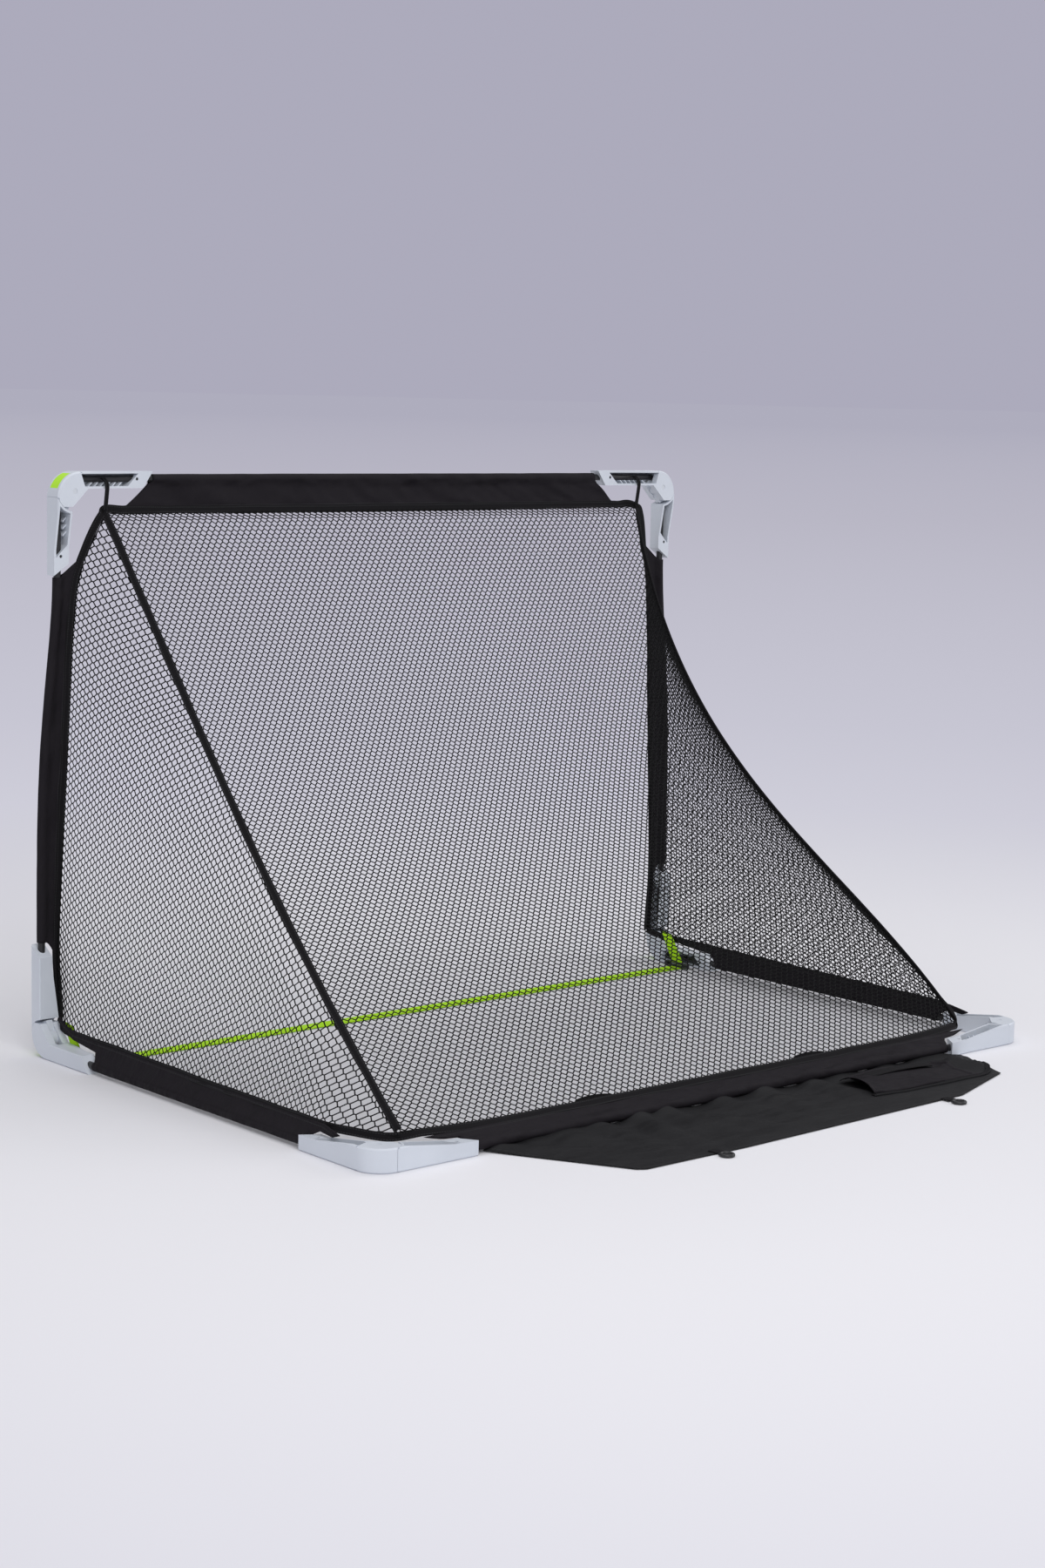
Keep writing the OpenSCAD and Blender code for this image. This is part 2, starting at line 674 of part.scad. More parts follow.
module bag_handle() {
    y0 = goal_d + 22;
    color(fabric) in_frame() translate([-345, y0 + 4, flap_t + 3]) difference() {
        cube([150, 24, 3]);
        translate([14, 7, -1]) cube([122, 10, 6]);
    }
}

module hook_tabs() {
    color(fabric) in_frame() for (x = hook_x)
        translate([x - 8, hook_y - 26, flap_t]) cube([16, 14.2, 1.6]);
}

// A hook lying flat: its ring and the round bar that it swivels on
module hook(x) {
    color(dark) in_frame() translate([x, hook_y, hook_wire_r]) {
        rotate_extrude() translate([hook_ring_r, 0]) circle(hook_wire_r, $fn = 20);
        translate([-6, -hook_ring_r, 0]) rotate([0, 90, 0]) cylinder(h = 12, r = 1.6, $fn = 24);
    }
}

// ---- the named pieces of the brackets --------------------------------------

module foot_bracket(side) {
    color(light) on_side(side) foot_corner() cheek_half(foot_side_arm, true);
}

module foot_bracket_post(side) {
    color(light) on_side(side) foot_corner() tongue_half(foot_post_arm);
}

module rear_bracket_side(side) {
    color(light) on_side(side) rear_corner() cheek_half(rear_side_arm, false);
}

module rear_bracket_bar(side) {
    color(light) on_side(side) rear_corner() tongue_half(rear_bar_arm);
}

module top_bracket_bar(side) {
    color(light) on_side(side) top_corner() cheek_half(top_bar_arm, true);
}

module top_bracket_post(side) {
    color(light) on_side(side) top_corner() tongue_half(top_post_arm);
}

module foot_hinge_pins() {
    color("silver") for (side = ["left", "right"]) on_side(side) foot_corner() hinge_pin();
}

module rear_hinge_pins() {
    color("silver") for (side = ["left", "right"]) on_side(side) rear_corner() hinge_pin();
}

module top_hinge_pins() {
    color("silver") for (side = ["left", "right"]) on_side(side) top_corner() hinge_pin();
}

module foot_inserts() {
    color(neon) for (side = ["left", "right"]) on_side(side) foot_corner() corner_inlay(0);
}

module top_inserts() {
    color(neon) for (side = ["left", "right"]) on_side(side) top_corner() corner_inlay(0);
}

module base_screws() {
    color(dark) for (side = ["left", "right"]) on_side(side) {
        foot_corner() arm_screw(foot_side_arm);
        rear_corner() arm_screw(rear_side_arm);
        rear_corner() along_v() arm_screw(rear_bar_arm);
    }
}

module front_screws() {
    color(dark) for (side = ["left", "right"]) on_side(side) {
        foot_corner() along_v() arm_screw(foot_post_arm);
        top_corner() arm_screw(top_bar_arm);
        top_corner() along_v() arm_screw(top_post_arm);
    }
}

rear_bar();
side_rod("left");  // side_rod_left
side_rod("right");  // side_rod_right
foot_bracket("left");  // foot_bracket_left
foot_bracket("right");  // foot_bracket_right
rear_bracket_side("left");  // rear_bracket_side_left
rear_bracket_side("right");  // rear_bracket_side_right
rear_bracket_bar("left");  // rear_bracket_bar_left
rear_bracket_bar("right");  // rear_bracket_bar_right
foot_hinge_pins();
rear_hinge_pins();
base_screws();
foot_inserts();
rear_sleeve();
side_sleeve("left");  // side_sleeve_left
side_sleeve("right");  // side_sleeve_right
side_band("left");  // side_band_left
side_band("right");  // side_band_right
back_net();
side_net("left");  // side_net_left
side_net("right");  // side_net_right
seam_tape("left");  // seam_tape_left
seam_tape("right");  // seam_tape_right
goal_line_strap();
corner_tab("left");  // corner_tab_left
corner_tab("right");  // corner_tab_right
strap_keepers();
closure_loops();
crossbar();
post("left");  // post_left
post("right");  // post_right
top_bracket_bar("left");  // top_bracket_bar_left
top_bracket_bar("right");  // top_bracket_bar_right
top_bracket_post("left");  // top_bracket_post_left
top_bracket_post("right");  // top_bracket_post_right
foot_bracket_post("left");  // foot_bracket_post_left
foot_bracket_post("right");  // foot_bracket_post_right
top_hinge_pins();
front_screws();
top_inserts();
crossbar_sleeve();
post_sleeve("left");  // post_sleeve_left
post_sleeve("right");  // post_sleeve_right
front_hem();
shock_cord("left");  // shock_cord_left
shock_cord("right");  // shock_cord_right
bag_flap();
bag_pocket();
bag_handle();
hook_tabs();
hook(hook_x[0]);  // hook_left
hook(hook_x[1]);  // hook_right
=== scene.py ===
import json
from math import cos, pi, radians, sin

import bmesh
import bpy
from mathutils import Matrix, Vector
from mathutils.noise import noise as lump


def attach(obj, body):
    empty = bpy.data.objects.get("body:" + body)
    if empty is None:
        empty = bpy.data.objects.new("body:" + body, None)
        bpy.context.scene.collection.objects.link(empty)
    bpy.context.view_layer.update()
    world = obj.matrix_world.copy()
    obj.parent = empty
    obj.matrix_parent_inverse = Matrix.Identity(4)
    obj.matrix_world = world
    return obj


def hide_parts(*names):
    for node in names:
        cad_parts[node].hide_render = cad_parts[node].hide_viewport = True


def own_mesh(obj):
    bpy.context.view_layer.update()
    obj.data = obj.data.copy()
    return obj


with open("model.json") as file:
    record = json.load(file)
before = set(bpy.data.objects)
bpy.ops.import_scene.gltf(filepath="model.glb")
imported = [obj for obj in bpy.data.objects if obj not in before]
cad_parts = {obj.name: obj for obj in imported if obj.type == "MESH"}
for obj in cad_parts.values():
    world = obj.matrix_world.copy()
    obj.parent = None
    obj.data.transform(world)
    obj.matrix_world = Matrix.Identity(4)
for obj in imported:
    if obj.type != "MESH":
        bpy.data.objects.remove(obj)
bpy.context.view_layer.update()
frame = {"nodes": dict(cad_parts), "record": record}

# Sizes here are millimetres, and depths start at the goal line. The frame is in metres, and its Y
# starts at the middle of the whole length, which takes in the bag and its hooks.
MM = 0.001
HALF_LENGTH = 478.5

# The standing goal without its bag, and how far each rod's axis lies inside that.
WIDTH, HEIGHT, DEPTH = 1200, 800, 765
ROD = 10.5
SIDE_ROD_X = ROD - WIDTH / 2
REAR_BAR_Y = DEPTH - ROD
CROSSBAR_Z = HEIGHT - ROD

# Pieces are drawn for the left side, and a hand of -1 turns them over to the right.
SIDES = (("left", 1), ("right", -1))


def at(x, y, z):
    """A point given in millimetres across, behind the goal line and up, in the frame's metres."""
    return Vector((x, y - HALF_LENGTH, z)) * MM


# ------------------------------------------------camera
CAMERA_AT = (2.601, 2.8075, 0.917)
CAMERA_TURN, CAMERA_DIP, CAMERA_ROLL = radians(41.35), radians(7.89), radians(1.29)
CAMERA_LENS = 64.64


def stand_camera():
    """The camera stands behind the goal on its right and looks slightly down at it."""
    data = bpy.data.cameras.new("camera")
    data.lens = CAMERA_LENS
    data.sensor_width = 36
    camera = bpy.data.objects.new("camera", data)
    ahead = Vector((-sin(CAMERA_TURN) * cos(CAMERA_DIP), -cos(CAMERA_TURN) * cos(CAMERA_DIP),
                    -sin(CAMERA_DIP)))
    right = ahead.cross(Vector((0, 0, 1))).normalized()
    up = right.cross(ahead)
    rolled_right = cos(CAMERA_ROLL) * right + sin(CAMERA_ROLL) * up
    rolled_up = cos(CAMERA_ROLL) * up - sin(CAMERA_ROLL) * right
    turn = Matrix((rolled_right, rolled_up, -ahead)).transposed()
    camera.matrix_world = Matrix.Translation(CAMERA_AT) @ turn.to_4x4()
    bpy.context.scene.collection.objects.link(camera)
    bpy.context.scene.camera = camera


stand_camera()
bpy.context.scene.view_settings.view_transform = "Standard"


# ------------------------------------------------nodes
def feed(tree, socket, value):
    """A plain number or colour, or another node's output, goes into a socket."""
    if isinstance(value, bpy.types.NodeSocket):
        tree.links.new(value, socket)
    elif isinstance(value, tuple):
        socket.default_value = (*value, 1)
    else:
        socket.default_value = value


def add_node(tree, kind, inputs, **settings):
    """A node with its settings made and its sockets fed."""
    node = tree.nodes.new("ShaderNode" + kind)
    for setting, value in settings.items():
        setattr(node, setting, value)
    for socket, value in inputs.items():
        feed(tree, node.inputs[socket], value)
    return node


def math_node(tree, operation, *values):
    """The result of one operation on plain numbers and other nodes' outputs."""
    node = add_node(tree, "Math", {}, operation=operation)
    for socket, value in zip(node.inputs, values):
        feed(tree, socket, value)
    return node.outputs[0]


def noise(tree, place, scale, detail=3.0, roughness=0.55):
    return add_node(tree, "TexNoise", {"Vector": place, "Scale": scale, "Detail": detail,
                                       "Roughness": roughness}).outputs["Fac"]


def stretch(tree, value, low, high, to_low=0.0, to_high=1.0):
    """A value between low and high becomes one between two others."""
    return add_node(tree, "MapRange", {"Value": value, "From Min": low, "From Max": high,
                                       "To Min": to_low, "To Max": to_high}).outputs["Result"]


def mix_colour(tree, mask, first, second):
    return add_node(tree, "Mix", {"Factor": mask, "A": first, "B": second},
                    data_type="RGBA").outputs["Result"]


def bump(tree, height, strength, distance, under=None):
    """Relief from a height, laid over another relief's normal where there is one."""
    node = add_node(tree, "Bump", {"Height": height, "Strength": strength, "Distance": distance})
    if under is not None:
        tree.links.new(under, node.inputs["Normal"])
    return node.outputs["Normal"]


def object_place(tree):
    return tree.nodes.new("ShaderNodeTexCoord").outputs["Object"]


# ------------------------------------------------shared effects
def new_group(name, inputs, *outputs):
    """A node group with number inputs {name: default} and number outputs."""
    tree = bpy.data.node_groups.new(name, "ShaderNodeTree")
    for socket, default in inputs.items():
        made = tree.interface.new_socket(socket, in_out="INPUT", socket_type="NodeSocketFloat")
        made.default_value = default
    for socket in outputs:
        tree.interface.new_socket(socket, in_out="OUTPUT", socket_type="NodeSocketFloat")
    return tree, tree.nodes.new("NodeGroupInput"), tree.nodes.new("NodeGroupOutput")


def make_weave():
    """Plain weave from the object's own axes: a height, and a mask for painted light, a highlight on the
    thread crowns and shade in the gaps, with random slub tone.
    """
    tree, entry, leave = new_group("weave", {"Threads": 900.0, "Slub": 0.5}, "Height", "Mask")
    place = object_place(tree)
    split = add_node(tree, "SeparateXYZ", {"Vector": place})
    upright = math_node(tree, "ADD", split.outputs["Y"], split.outputs["Z"])
    waves = []
    for axis in (split.outputs["X"], upright):
        turns = math_node(tree, "MULTIPLY", axis, entry.outputs["Threads"])
        waves.append(math_node(tree, "SINE", math_node(tree, "MULTIPLY", turns, 2 * pi)))
    crossing = math_node(tree, "MULTIPLY", *waves)
    slub = math_node(tree, "MULTIPLY", noise(tree, place, 260.0), entry.outputs["Slub"])
    height = math_node(tree, "ADD", crossing, slub)
    tree.links.new(height, leave.inputs["Height"])
    # The mask paints a highlight on the thread crowns and shade in the gaps between threads; the slub noise
    # in it is random tone.
    tree.links.new(stretch(tree, height, -1.0, 1.5), leave.inputs["Mask"])
    return tree


def make_grain():
    """Fine moulded or sprayed skin: a height, a slow drift of shade, and sparse scuffs."""
    tree, entry, leave = new_group("grain", {"Scale": 900.0}, "Height", "Drift", "Scuff")
    place = object_place(tree)
    tree.links.new(noise(tree, place, entry.outputs["Scale"], 2.0), leave.inputs["Height"])
    tree.links.new(stretch(tree, noise(tree, place, 9.0), 0.35, 0.65), leave.inputs["Drift"])
    scratches = noise(tree, place, 120.0, 6.0, 0.7)
    tree.links.new(stretch(tree, scratches, 0.62, 0.74), leave.inputs["Scuff"])
    return tree


def make_stitch():
    """Rows of running stitch from a piece's own map, which is in metres across and along: a mask."""
    tree, entry, leave = new_group("stitch", {"Row": 0.004, "Pitch": 0.0035, "Thread": 0.0007}, "Mask")
    chart = tree.nodes.new("ShaderNodeUVMap").outputs["UV"]
    split = add_node(tree, "SeparateXYZ", {"Vector": chart})
    across = math_node(tree, "ABSOLUTE", split.outputs["X"])
    off = math_node(tree, "ABSOLUTE", math_node(tree, "SUBTRACT", across, entry.outputs["Row"]))
    on_row = math_node(tree, "LESS_THAN", off, entry.outputs["Thread"])
    turn = math_node(tree, "FRACT", math_node(tree, "DIVIDE", split.outputs["Y"], entry.outputs["Pitch"]))
    dash = math_node(tree, "LESS_THAN", turn, 0.66)
    tree.links.new(math_node(tree, "MULTIPLY", on_row, dash), leave.inputs["Mask"])
    return tree


def make_crease():
    """Slanting soft folds in cloth: a height."""
    tree, entry, leave = new_group("crease", {"Scale": 16.0}, "Height")
    slant = add_node(tree, "Mapping", {"Vector": object_place(tree)})
    slant.inputs["Rotation"].default_value = (0.5, 0.4, 0.6)
    slant.inputs["Scale"].default_value = (1.0, 2.6, 1.0)
    folds = noise(tree, slant.outputs["Vector"], entry.outputs["Scale"], 2.0, 0.45)
    tree.links.new(folds, leave.inputs["Height"])
    return tree


WEAVE, GRAIN, STITCH, CREASE = make_weave(), make_grain(), make_stitch(), make_crease()


def place_group(tree, group, **values):
    """The outputs of a shared effect, placed with a material's own values."""
    node = tree.nodes.new("ShaderNodeGroup")
    node.node_tree = group
    for name, value in values.items():
        node.inputs[name].default_value = value
    return node.outputs


# ------------------------------------------------materials
SKIN_GRAIN = 1100.0
SKIN_RELIEF, THREAD_RELIEF, STITCH_RELIEF, FOLD_RELIEF = 0.0002, 0.0002, 0.0006, 0.02


def finish_material(name, **sockets):
    """A material whose Principled shader takes plain values."""
    material = bpy.data.materials.new(name)
    material.use_nodes = True
    shader = material.node_tree.nodes["Principled BSDF"]
    for socket, value in sockets.items():
        feed(material.node_tree, shader.inputs[socket.replace("_", " ")], value)
    return material, material.node_tree, shader


def moulded(name, low, high, rough=(0.4, 0.5)):
    """Plastic, rubber or sprayed metal: two near shades, scuffs that dull it, and a fine skin."""
    material, tree, shader = finish_material(name)
    skin = place_group(tree, GRAIN, Scale=SKIN_GRAIN)
    feed(tree, shader.inputs["Base Color"], mix_colour(tree, skin["Drift"], low, high))
    feed(tree, shader.inputs["Roughness"], stretch(tree, skin["Scuff"], 0.0, 1.0, *rough))
    feed(tree, shader.inputs["Normal"], bump(tree, skin["Height"], 0.1, SKIN_RELIEF))
    return material


def woven(name, low, high, rough, threads=900.0, row=None, thread=(0.03, 0.03, 0.032), crease=None):
    """Cloth or webbing: thread crowns painted a shade lighter and the gaps painted darker as light and shade,
    with random slub tone, stitching on a row, soft folds.
    """
    material, tree, shader = finish_material(name, Specular_IOR_Level=0.12, Roughness=rough)
    weave = place_group(tree, WEAVE, Threads=threads)
    # Painted light: high is the highlight on the thread crowns, low the shade in the gaps between threads.
    colour = mix_colour(tree, weave["Mask"], low, high)
    normal = bump(tree, weave["Height"], 0.35, THREAD_RELIEF)
    if row is not None:
        sewn = place_group(tree, STITCH, Row=row)["Mask"]
        colour = mix_colour(tree, sewn, colour, thread)
        normal = bump(tree, sewn, 1.0, STITCH_RELIEF, normal)
    if crease is not None:
        folds = place_group(tree, CREASE, Scale=crease)["Height"]
        normal = bump(tree, folds, 0.9, FOLD_RELIEF, normal)
    feed(tree, shader.inputs["Base Color"], colour)
    feed(tree, shader.inputs["Normal"], normal)
    return material


SATIN_BLACK = ((0.012, 0.012, 0.013), (0.02, 0.02, 0.022))

FINISHES = {
    "bracket_plastic": moulded("bracket_plastic", (0.64, 0.68, 0.745), (0.68, 0.72, 0.785)),
    "rod_coating": moulded("rod_coating", *SATIN_BLACK, (0.3, 0.42)),
    "hinge_pin_plastic": moulded("hinge_pin_plastic", (0.60, 0.64, 0.69), (0.66, 0.69, 0.74)),
    "screw_steel": moulded("screw_steel", (0.02, 0.02, 0.022), (0.035, 0.035, 0.038), (0.35, 0.5)),
    "inlay_rubber": moulded("inlay_rubber", (0.48, 0.90, 0.02), (0.54, 0.95, 0.03), (0.5, 0.6)),
    "keeper_plastic": moulded("keeper_plastic", *SATIN_BLACK),
    # In the woven finishes the second colour is the painted highlight on thread crowns, and the first is the
    # painted shade in the gaps.
    "sleeve_fabric": woven("sleeve_fabric", (0.0105, 0.0088, 0.011), (0.019, 0.0165, 0.0205), 0.72,
                           row=0.0045, crease=15.0),
    "bag_fabric": woven("bag_fabric", (0.0125, 0.0123, 0.0135), (0.022, 0.0218, 0.0235), 0.62, 1000.0,
                        row=0.004, crease=9.0),
    "hem_tape": woven("hem_tape", (0.007, 0.0066, 0.0074), (0.014, 0.013, 0.015), 0.8, 700.0, row=0.0034),
    "net_mesh": woven("net_mesh", (0.005, 0.005, 0.0055), (0.011, 0.0108, 0.0115), 0.75, 2500.0),
    "elastic_cord": woven("elastic_cord", (0.010, 0.010, 0.011), (0.02, 0.02, 0.022), 0.8, 1500.0),
    "neon_webbing": woven("neon_webbing", (0.46, 0.88, 0.012), (0.58, 0.98, 0.03), 0.7, 800.0,
                          row=0.0105, thread=(0.40, 0.80, 0.02)),
}


def finish_frame():
    """Every CAD node gets the finish of its slot."""
    for part in frame["record"]["subparts"]:
        mesh = frame["nodes"][part["node"]].data
        mesh.materials.clear()
        mesh.materials.append(FINISHES[part["material_slot"]])


finish_frame()


# ------------------------------------------------curves
def mirrored(point, hand):
    """A point of the left half, or its twin on the right."""
    return Vector((point[0] * hand, point[1], point[2]))


def ripple(*place):
    """A smooth wave between about -1 and 1 that never repeats."""
    return lump(Vector(place))


def between(points, share):
    """A point part of the way along a list of points that are evenly numbered."""
    where = min(max(share, 0.0), 1.0) * (len(points) - 1)
    first = min(int(where), len(points) - 2)
    return Vector(points[first]).lerp(Vector(points[first + 1]), where - first)


def rounded(points, share):
    """The same, on a smooth curve through points of a plane."""
    where = min(max(share, 0.0), 1.0) * (len(points) - 1)
    i = min(int(where), len(points) - 2)
    t = where - i
    a, b = Vector(points[i]), Vector(points[i + 1])
    leave = (b - Vector(points[max(i - 1, 0)])) / (2 if i else 1)
    more = i + 2 < len(points)
    arrive = (Vector(points[i + 2 if more else i + 1]) - a) / (2 if more else 1)
    return ((2*t**3 - 3*t**2 + 1) * a + (t**3 - 2*t**2 + t) * leave + (3*t**2 - 2*t**3) * b
            + (t**3 - t**2) * arrive)


def headings(line):
    """Each point of a line with the direction that the line takes there."""
    last = len(line) - 1
    for i, point in enumerate(line):
        yield point, (line[min(i + 1, last)] - line[max(i - 1, 0)]).normalized()


def laid_out(columns, rows, place, joined=False):
    """A grid shaped by place(u, v), which gives a point in millimetres and its place on the flat cloth."""
    cloth = bmesh.new()
    bmesh.ops.create_grid(cloth, x_segments=columns, y_segments=rows, size=0.5)
    chart = cloth.loops.layers.uv.new("Cloth")
    spots = {}
    for vert in cloth.verts:
        u = round((vert.co.x + 0.5) * columns) / columns
        v = round((vert.co.y + 0.5) * rows) / rows
        point, flat = place(u, v)
        spots[vert] = flat
        vert.co = at(*point)
    chart_cloth(cloth, chart, spots)
    if joined:
        bmesh.ops.remove_doubles(cloth, verts=cloth.verts[:], dist=1e-6)
    return cloth


def chart_cloth(cloth, chart, spots):
    """Each corner's place on the flat cloth, given in millimetres, goes into the piece's map."""
    for face in cloth.faces:
        for loop in face.loops:
            x, y = spots[loop.vert]
            loop[chart].uv = (x * MM, y * MM)


def close_ends(tubes):
    """The open ends of tubes are filled."""
    bmesh.ops.holes_fill(tubes, edges=tubes.edges[:], sides=0)


def add_mesh(whole, part):
    """A part's mesh goes into the whole, and the part is spent."""
    spare = bpy.data.meshes.new("part")
    part.to_mesh(spare)
    part.free()
    whole.from_mesh(spare)
    bpy.data.meshes.remove(spare)


def gathered(tabs):
    """Several tabs as one mesh, each closed at its ends."""
    whole = bmesh.new()
    for tab in tabs:
        close_ends(tab)
        add_mesh(whole, tab)
    return whole


def kept(cloth, name, body, slot, *nodes, turned=True):
    """The mesh becomes a piece that moves with a body and stands for the CAD nodes."""
    if turned:
        bmesh.ops.recalc_face_normals(cloth, faces=cloth.faces[:])
    mesh = bpy.data.meshes.new(name)
    cloth.to_mesh(mesh)
    cloth.free()
    for face in mesh.polygons:
        face.use_smooth = True
    mesh.materials.append(FINISHES[slot])
    piece = bpy.data.objects.new(name, mesh)
    bpy.context.scene.collection.objects.link(piece)
    if nodes:
        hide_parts(*nodes)
    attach(piece, body)
    return piece


def thickened(piece, depth):
    """A wall of that many millimetres."""
    wall = piece.modifiers.new("wall", "SOLIDIFY")
    wall.thickness = depth * MM
    wall.offset = 0


def folds_down(piece):
    """The piece gets a mesh of its own."""
    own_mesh(piece)


# ------------------------------------------------shock cords
CORD_X = 497
STRAND_RADIUS, STRAND_APART, BRAID = 1.5, 1.7, 0.06
# The cord's way behind the goal line and down, from the crossbar's bracket to the net's corner.
CORD_LINE = ((17.4, 790), (21, 789.5), (25, 787.4), (28, 784.4), (29.2, 781), (29.2, 776), (27, 762),
             (24.5, 747.5))


def strand(path, offset):
    """One braided strand of elastic beside a path."""
    def place(u, v):
        ahead = (between(path, v + 0.04) - between(path, v - 0.04)).normalized()
        out = Vector((1, 0, 0))
        up = ahead.cross(out)
        turn = 2 * pi * u
        radius = STRAND_RADIUS + BRAID * sin(turn * 6 + v * 120)
        centre = between(path, v) + out * offset
        return centre + (cos(turn) * out + sin(turn) * up) * radius, (9 * u, 50 * v)

    return laid_out(14, 60, place, joined=True)


def shock_cords():
    """Doubled elastic from the crossbar down to the top of each net seam."""
    for name, hand in SIDES:
        path = []
        for step in range(25):
            y, z = rounded(CORD_LINE, step / 24)
            path.append(Vector((-CORD_X * hand, y, z)))
        cord = strand(path, -STRAND_APART)
        add_mesh(cord, strand(path, STRAND_APART))
        close_ends(cord)
        piece = kept(cord, "elastic_" + name, "front_frame", "elastic_cord", "shock_cord_" + name)


shock_cords()


# ------------------------------------------------hem
# The left half of the mouth's edge, across and up, from the foot to the crossbar.
HEM_EDGE = ((-563, 50), (-569.3, 152), (-564.5, 272), (-557.5, 400), (-549.5, 560), (-542, 640),
            (-529.7, 682.4), (-502.7, 745.5), (-458.6, 750))
HEM_DIP = 1.4
HEM_WIDTH, HEM_DEPTH, HEM_INSIDE = 11.5, 3.8, 2.8


def closed_profile(upper):
    """A tape's whole outline in section from its upper half: how far across, and how thick."""
    return upper + [(x, -y) for x, y in upper[-2:0:-1]]


BINDING = closed_profile([(-1, 0), (-0.93, 0.75), (-0.74, 1), (-0.56, 0.74), (-0.2, 0.8), (0.2, 0.8),
                          (0.56, 0.74), (0.74, 1), (0.93, 0.75), (1, 0)])
SEAM = closed_profile([(-1, 0), (-0.93, 0.7), (-0.72, 1), (-0.5, 0.62), (-0.25, 0.9), (0, 0.5), (0.25, 0.9),
                       (0.5, 0.62), (0.72, 1), (0.93, 0.7), (1, 0)])


def hem_x(z):
    """How far left the mouth's edge is at a height."""
    for (x0, z0), (x1, z1) in zip(HEM_EDGE, HEM_EDGE[1:]):
        if z <= z1:
            return x0 + (x1 - x0) * max(z - z0, 0) / (z1 - z0)
    return HEM_EDGE[-1][0]


def hem_y(z):
    """How far behind the goal line the hem is: the elastic draws its corner back."""
    starts, full, ends = 680, 742, 753
    if z < starts:
        return ROD
    return ROD + 13.5 * min((z - starts) / (full - starts), 1, max((ends - z) / 9, 0))


def tape(route, width, depth, profile=BINDING, wander=0.0, seed=0):
    """A closed strip along a route of (point, across, out) frames, shaped in section by a profile."""
    lengths = [0.0]
    for (a, _, _), (b, _, _) in zip(route, route[1:]):
        lengths.append(lengths[-1] + (b - a).length)

    def place(u, v):
        i = round(v * (len(route) - 1))
        here, across, out = route[i]
        share, rise = profile[round(u * len(profile)) % len(profile)]
        end = 0.35 if i in (0, len(route) - 1) else 1
        drift = wander * ripple(lengths[i] * 0.02, seed, share * 0.7)
        point = here + across * (share * width / 2 + drift) + out * (rise * depth / 2 * end)
        return point, (share * width / 2, lengths[i])

    strip = laid_out(len(profile), len(route) - 1, place, joined=True)
    close_ends(strip)
    return strip


def mouth_hem():
    """Binding round the mouth, from the left foot up, over and down to the right foot."""
    up_steps, over_steps = 180, 110
    corner_x, corner_z = HEM_EDGE[-1]
    left = []
    for step in range(up_steps + 1):
        x, z = rounded(HEM_EDGE, step / up_steps)
        left.append(Vector((x, hem_y(z), z)))
    line = left[:]
    for step in range(1, over_steps):
        x = corner_x - 2 * corner_x * step / over_steps
        line.append(Vector((x, ROD, corner_z - HEM_DIP * sin(pi * step / over_steps))))
    line += [mirrored(p, -1) for p in reversed(left)]
    route = []
    for point, ahead in headings(line):
        out = Vector((0, 1, 0))
        across = out.cross(ahead).normalized()
        route.append((point + across * HEM_INSIDE, across, out))
    kept(tape(route, HEM_WIDTH, HEM_DEPTH, wander=0.8, seed=3), "mouth_hem", "front_frame", "hem_tape",
         "front_hem")


mouth_hem()


# ------------------------------------------------sleeves
# Part of the cloth lies round the rod, up to where it leaves it, and the rest goes on to the edge.
ROUND_ROD = 0.36
LEAVES_ROD = radians(62)
SLEEVE_RADIUS, ROLLED_RADIUS = 6.5, 5.25
CLOTH_HALF, ROLLED_HALF = 1.25, 0.2

# The side bands lean outwards, and the rear band leans in under the net's foot.
SIDE_LEAN, REAR_LEAN = radians(22), radians(54)
REAR_UP = Vector((0, -sin(REAR_LEAN), cos(REAR_LEAN)))
REAR_OUT = Vector((0, cos(REAR_LEAN), sin(REAR_LEAN)))
REAR_BAND = 27


def wrapped(rod, edge, across, out, u, rolled, radius, sway):
    """A point of cloth that goes from the band's edge round a rod and back to the edge."""
    hand = 1 if u > 0.5 else -1
    share = abs(2 * u - 1)
    half = CLOTH_HALF
    if rolled:
        radius, half = ROLLED_RADIUS, ROLLED_HALF
    if share < ROUND_ROD:
        turn = pi - share / ROUND_ROD * (pi - LEAVES_ROD)
        point = rod + across * radius * cos(turn) + out * hand * radius * sin(turn)
        return point, (edge - rod).length
    reach = (share - ROUND_ROD) / (1 - ROUND_ROD)
    start = rod + across * radius * cos(LEAVES_ROD)
    length = (edge - start).length
    spread = (radius * sin(LEAVES_ROD) - half) * max(0.0, 1 - reach * length / 11) ** 1.3
    gap = (half + spread) * (1 - reach ** 14)
    fade = min(1.0, reach * 4) * min(1.0, (1 - reach) * 4)
    return start.lerp(edge, reach) + out * (hand * gap + sway * fade), length * (1 - reach)


def rolled_rows(v, rows):
    """The first and last rows turn in to the rod at the place of the second and last but one."""
    row = round(v * rows)
    return min(max((row - 1) / (rows - 2), 0), 1), row in (0, rows)


def crossbar_cloth():
    """The cloth from the crossbar down to the mouth's edge."""
    rows, half_rod, half_edge = 150, 414, -HEM_EDGE[-1][0]
    edge_z = HEM_EDGE[-1][1] - 0.6

    def place(u, v):
        v, rolled = rolled_rows(v, rows)
        share = 2 * v - 1
        rod = Vector((half_rod * share, ROD, CROSSBAR_Z))
        edge = Vector((half_edge * share, ROD, edge_z - HEM_DIP * cos(share * pi / 2)))
        x = 430 * share
        sway = 3.4 * ripple(x * 0.016 + abs(2 * u - 1) * 2.2, x * 0.003, 2.0)
        sway += 2.0 * ripple(x * 0.045 + abs(2 * u - 1) * 3.0, 7.0, 1.0)
        radius = SLEEVE_RADIUS + 0.25 * ripple(x * 0.03, u * 3, 4.0)
        down, back = Vector((0, 0, -1)), Vector((0, 1, 0))
        point, from_edge = wrapped(rod, edge, down, back, u, rolled, radius, sway)
        return point, (from_edge, x)

    kept(laid_out(48, rows, place, joined=True), "crossbar_cloth", "front_frame", "sleeve_fabric",
         "crossbar_sleeve")


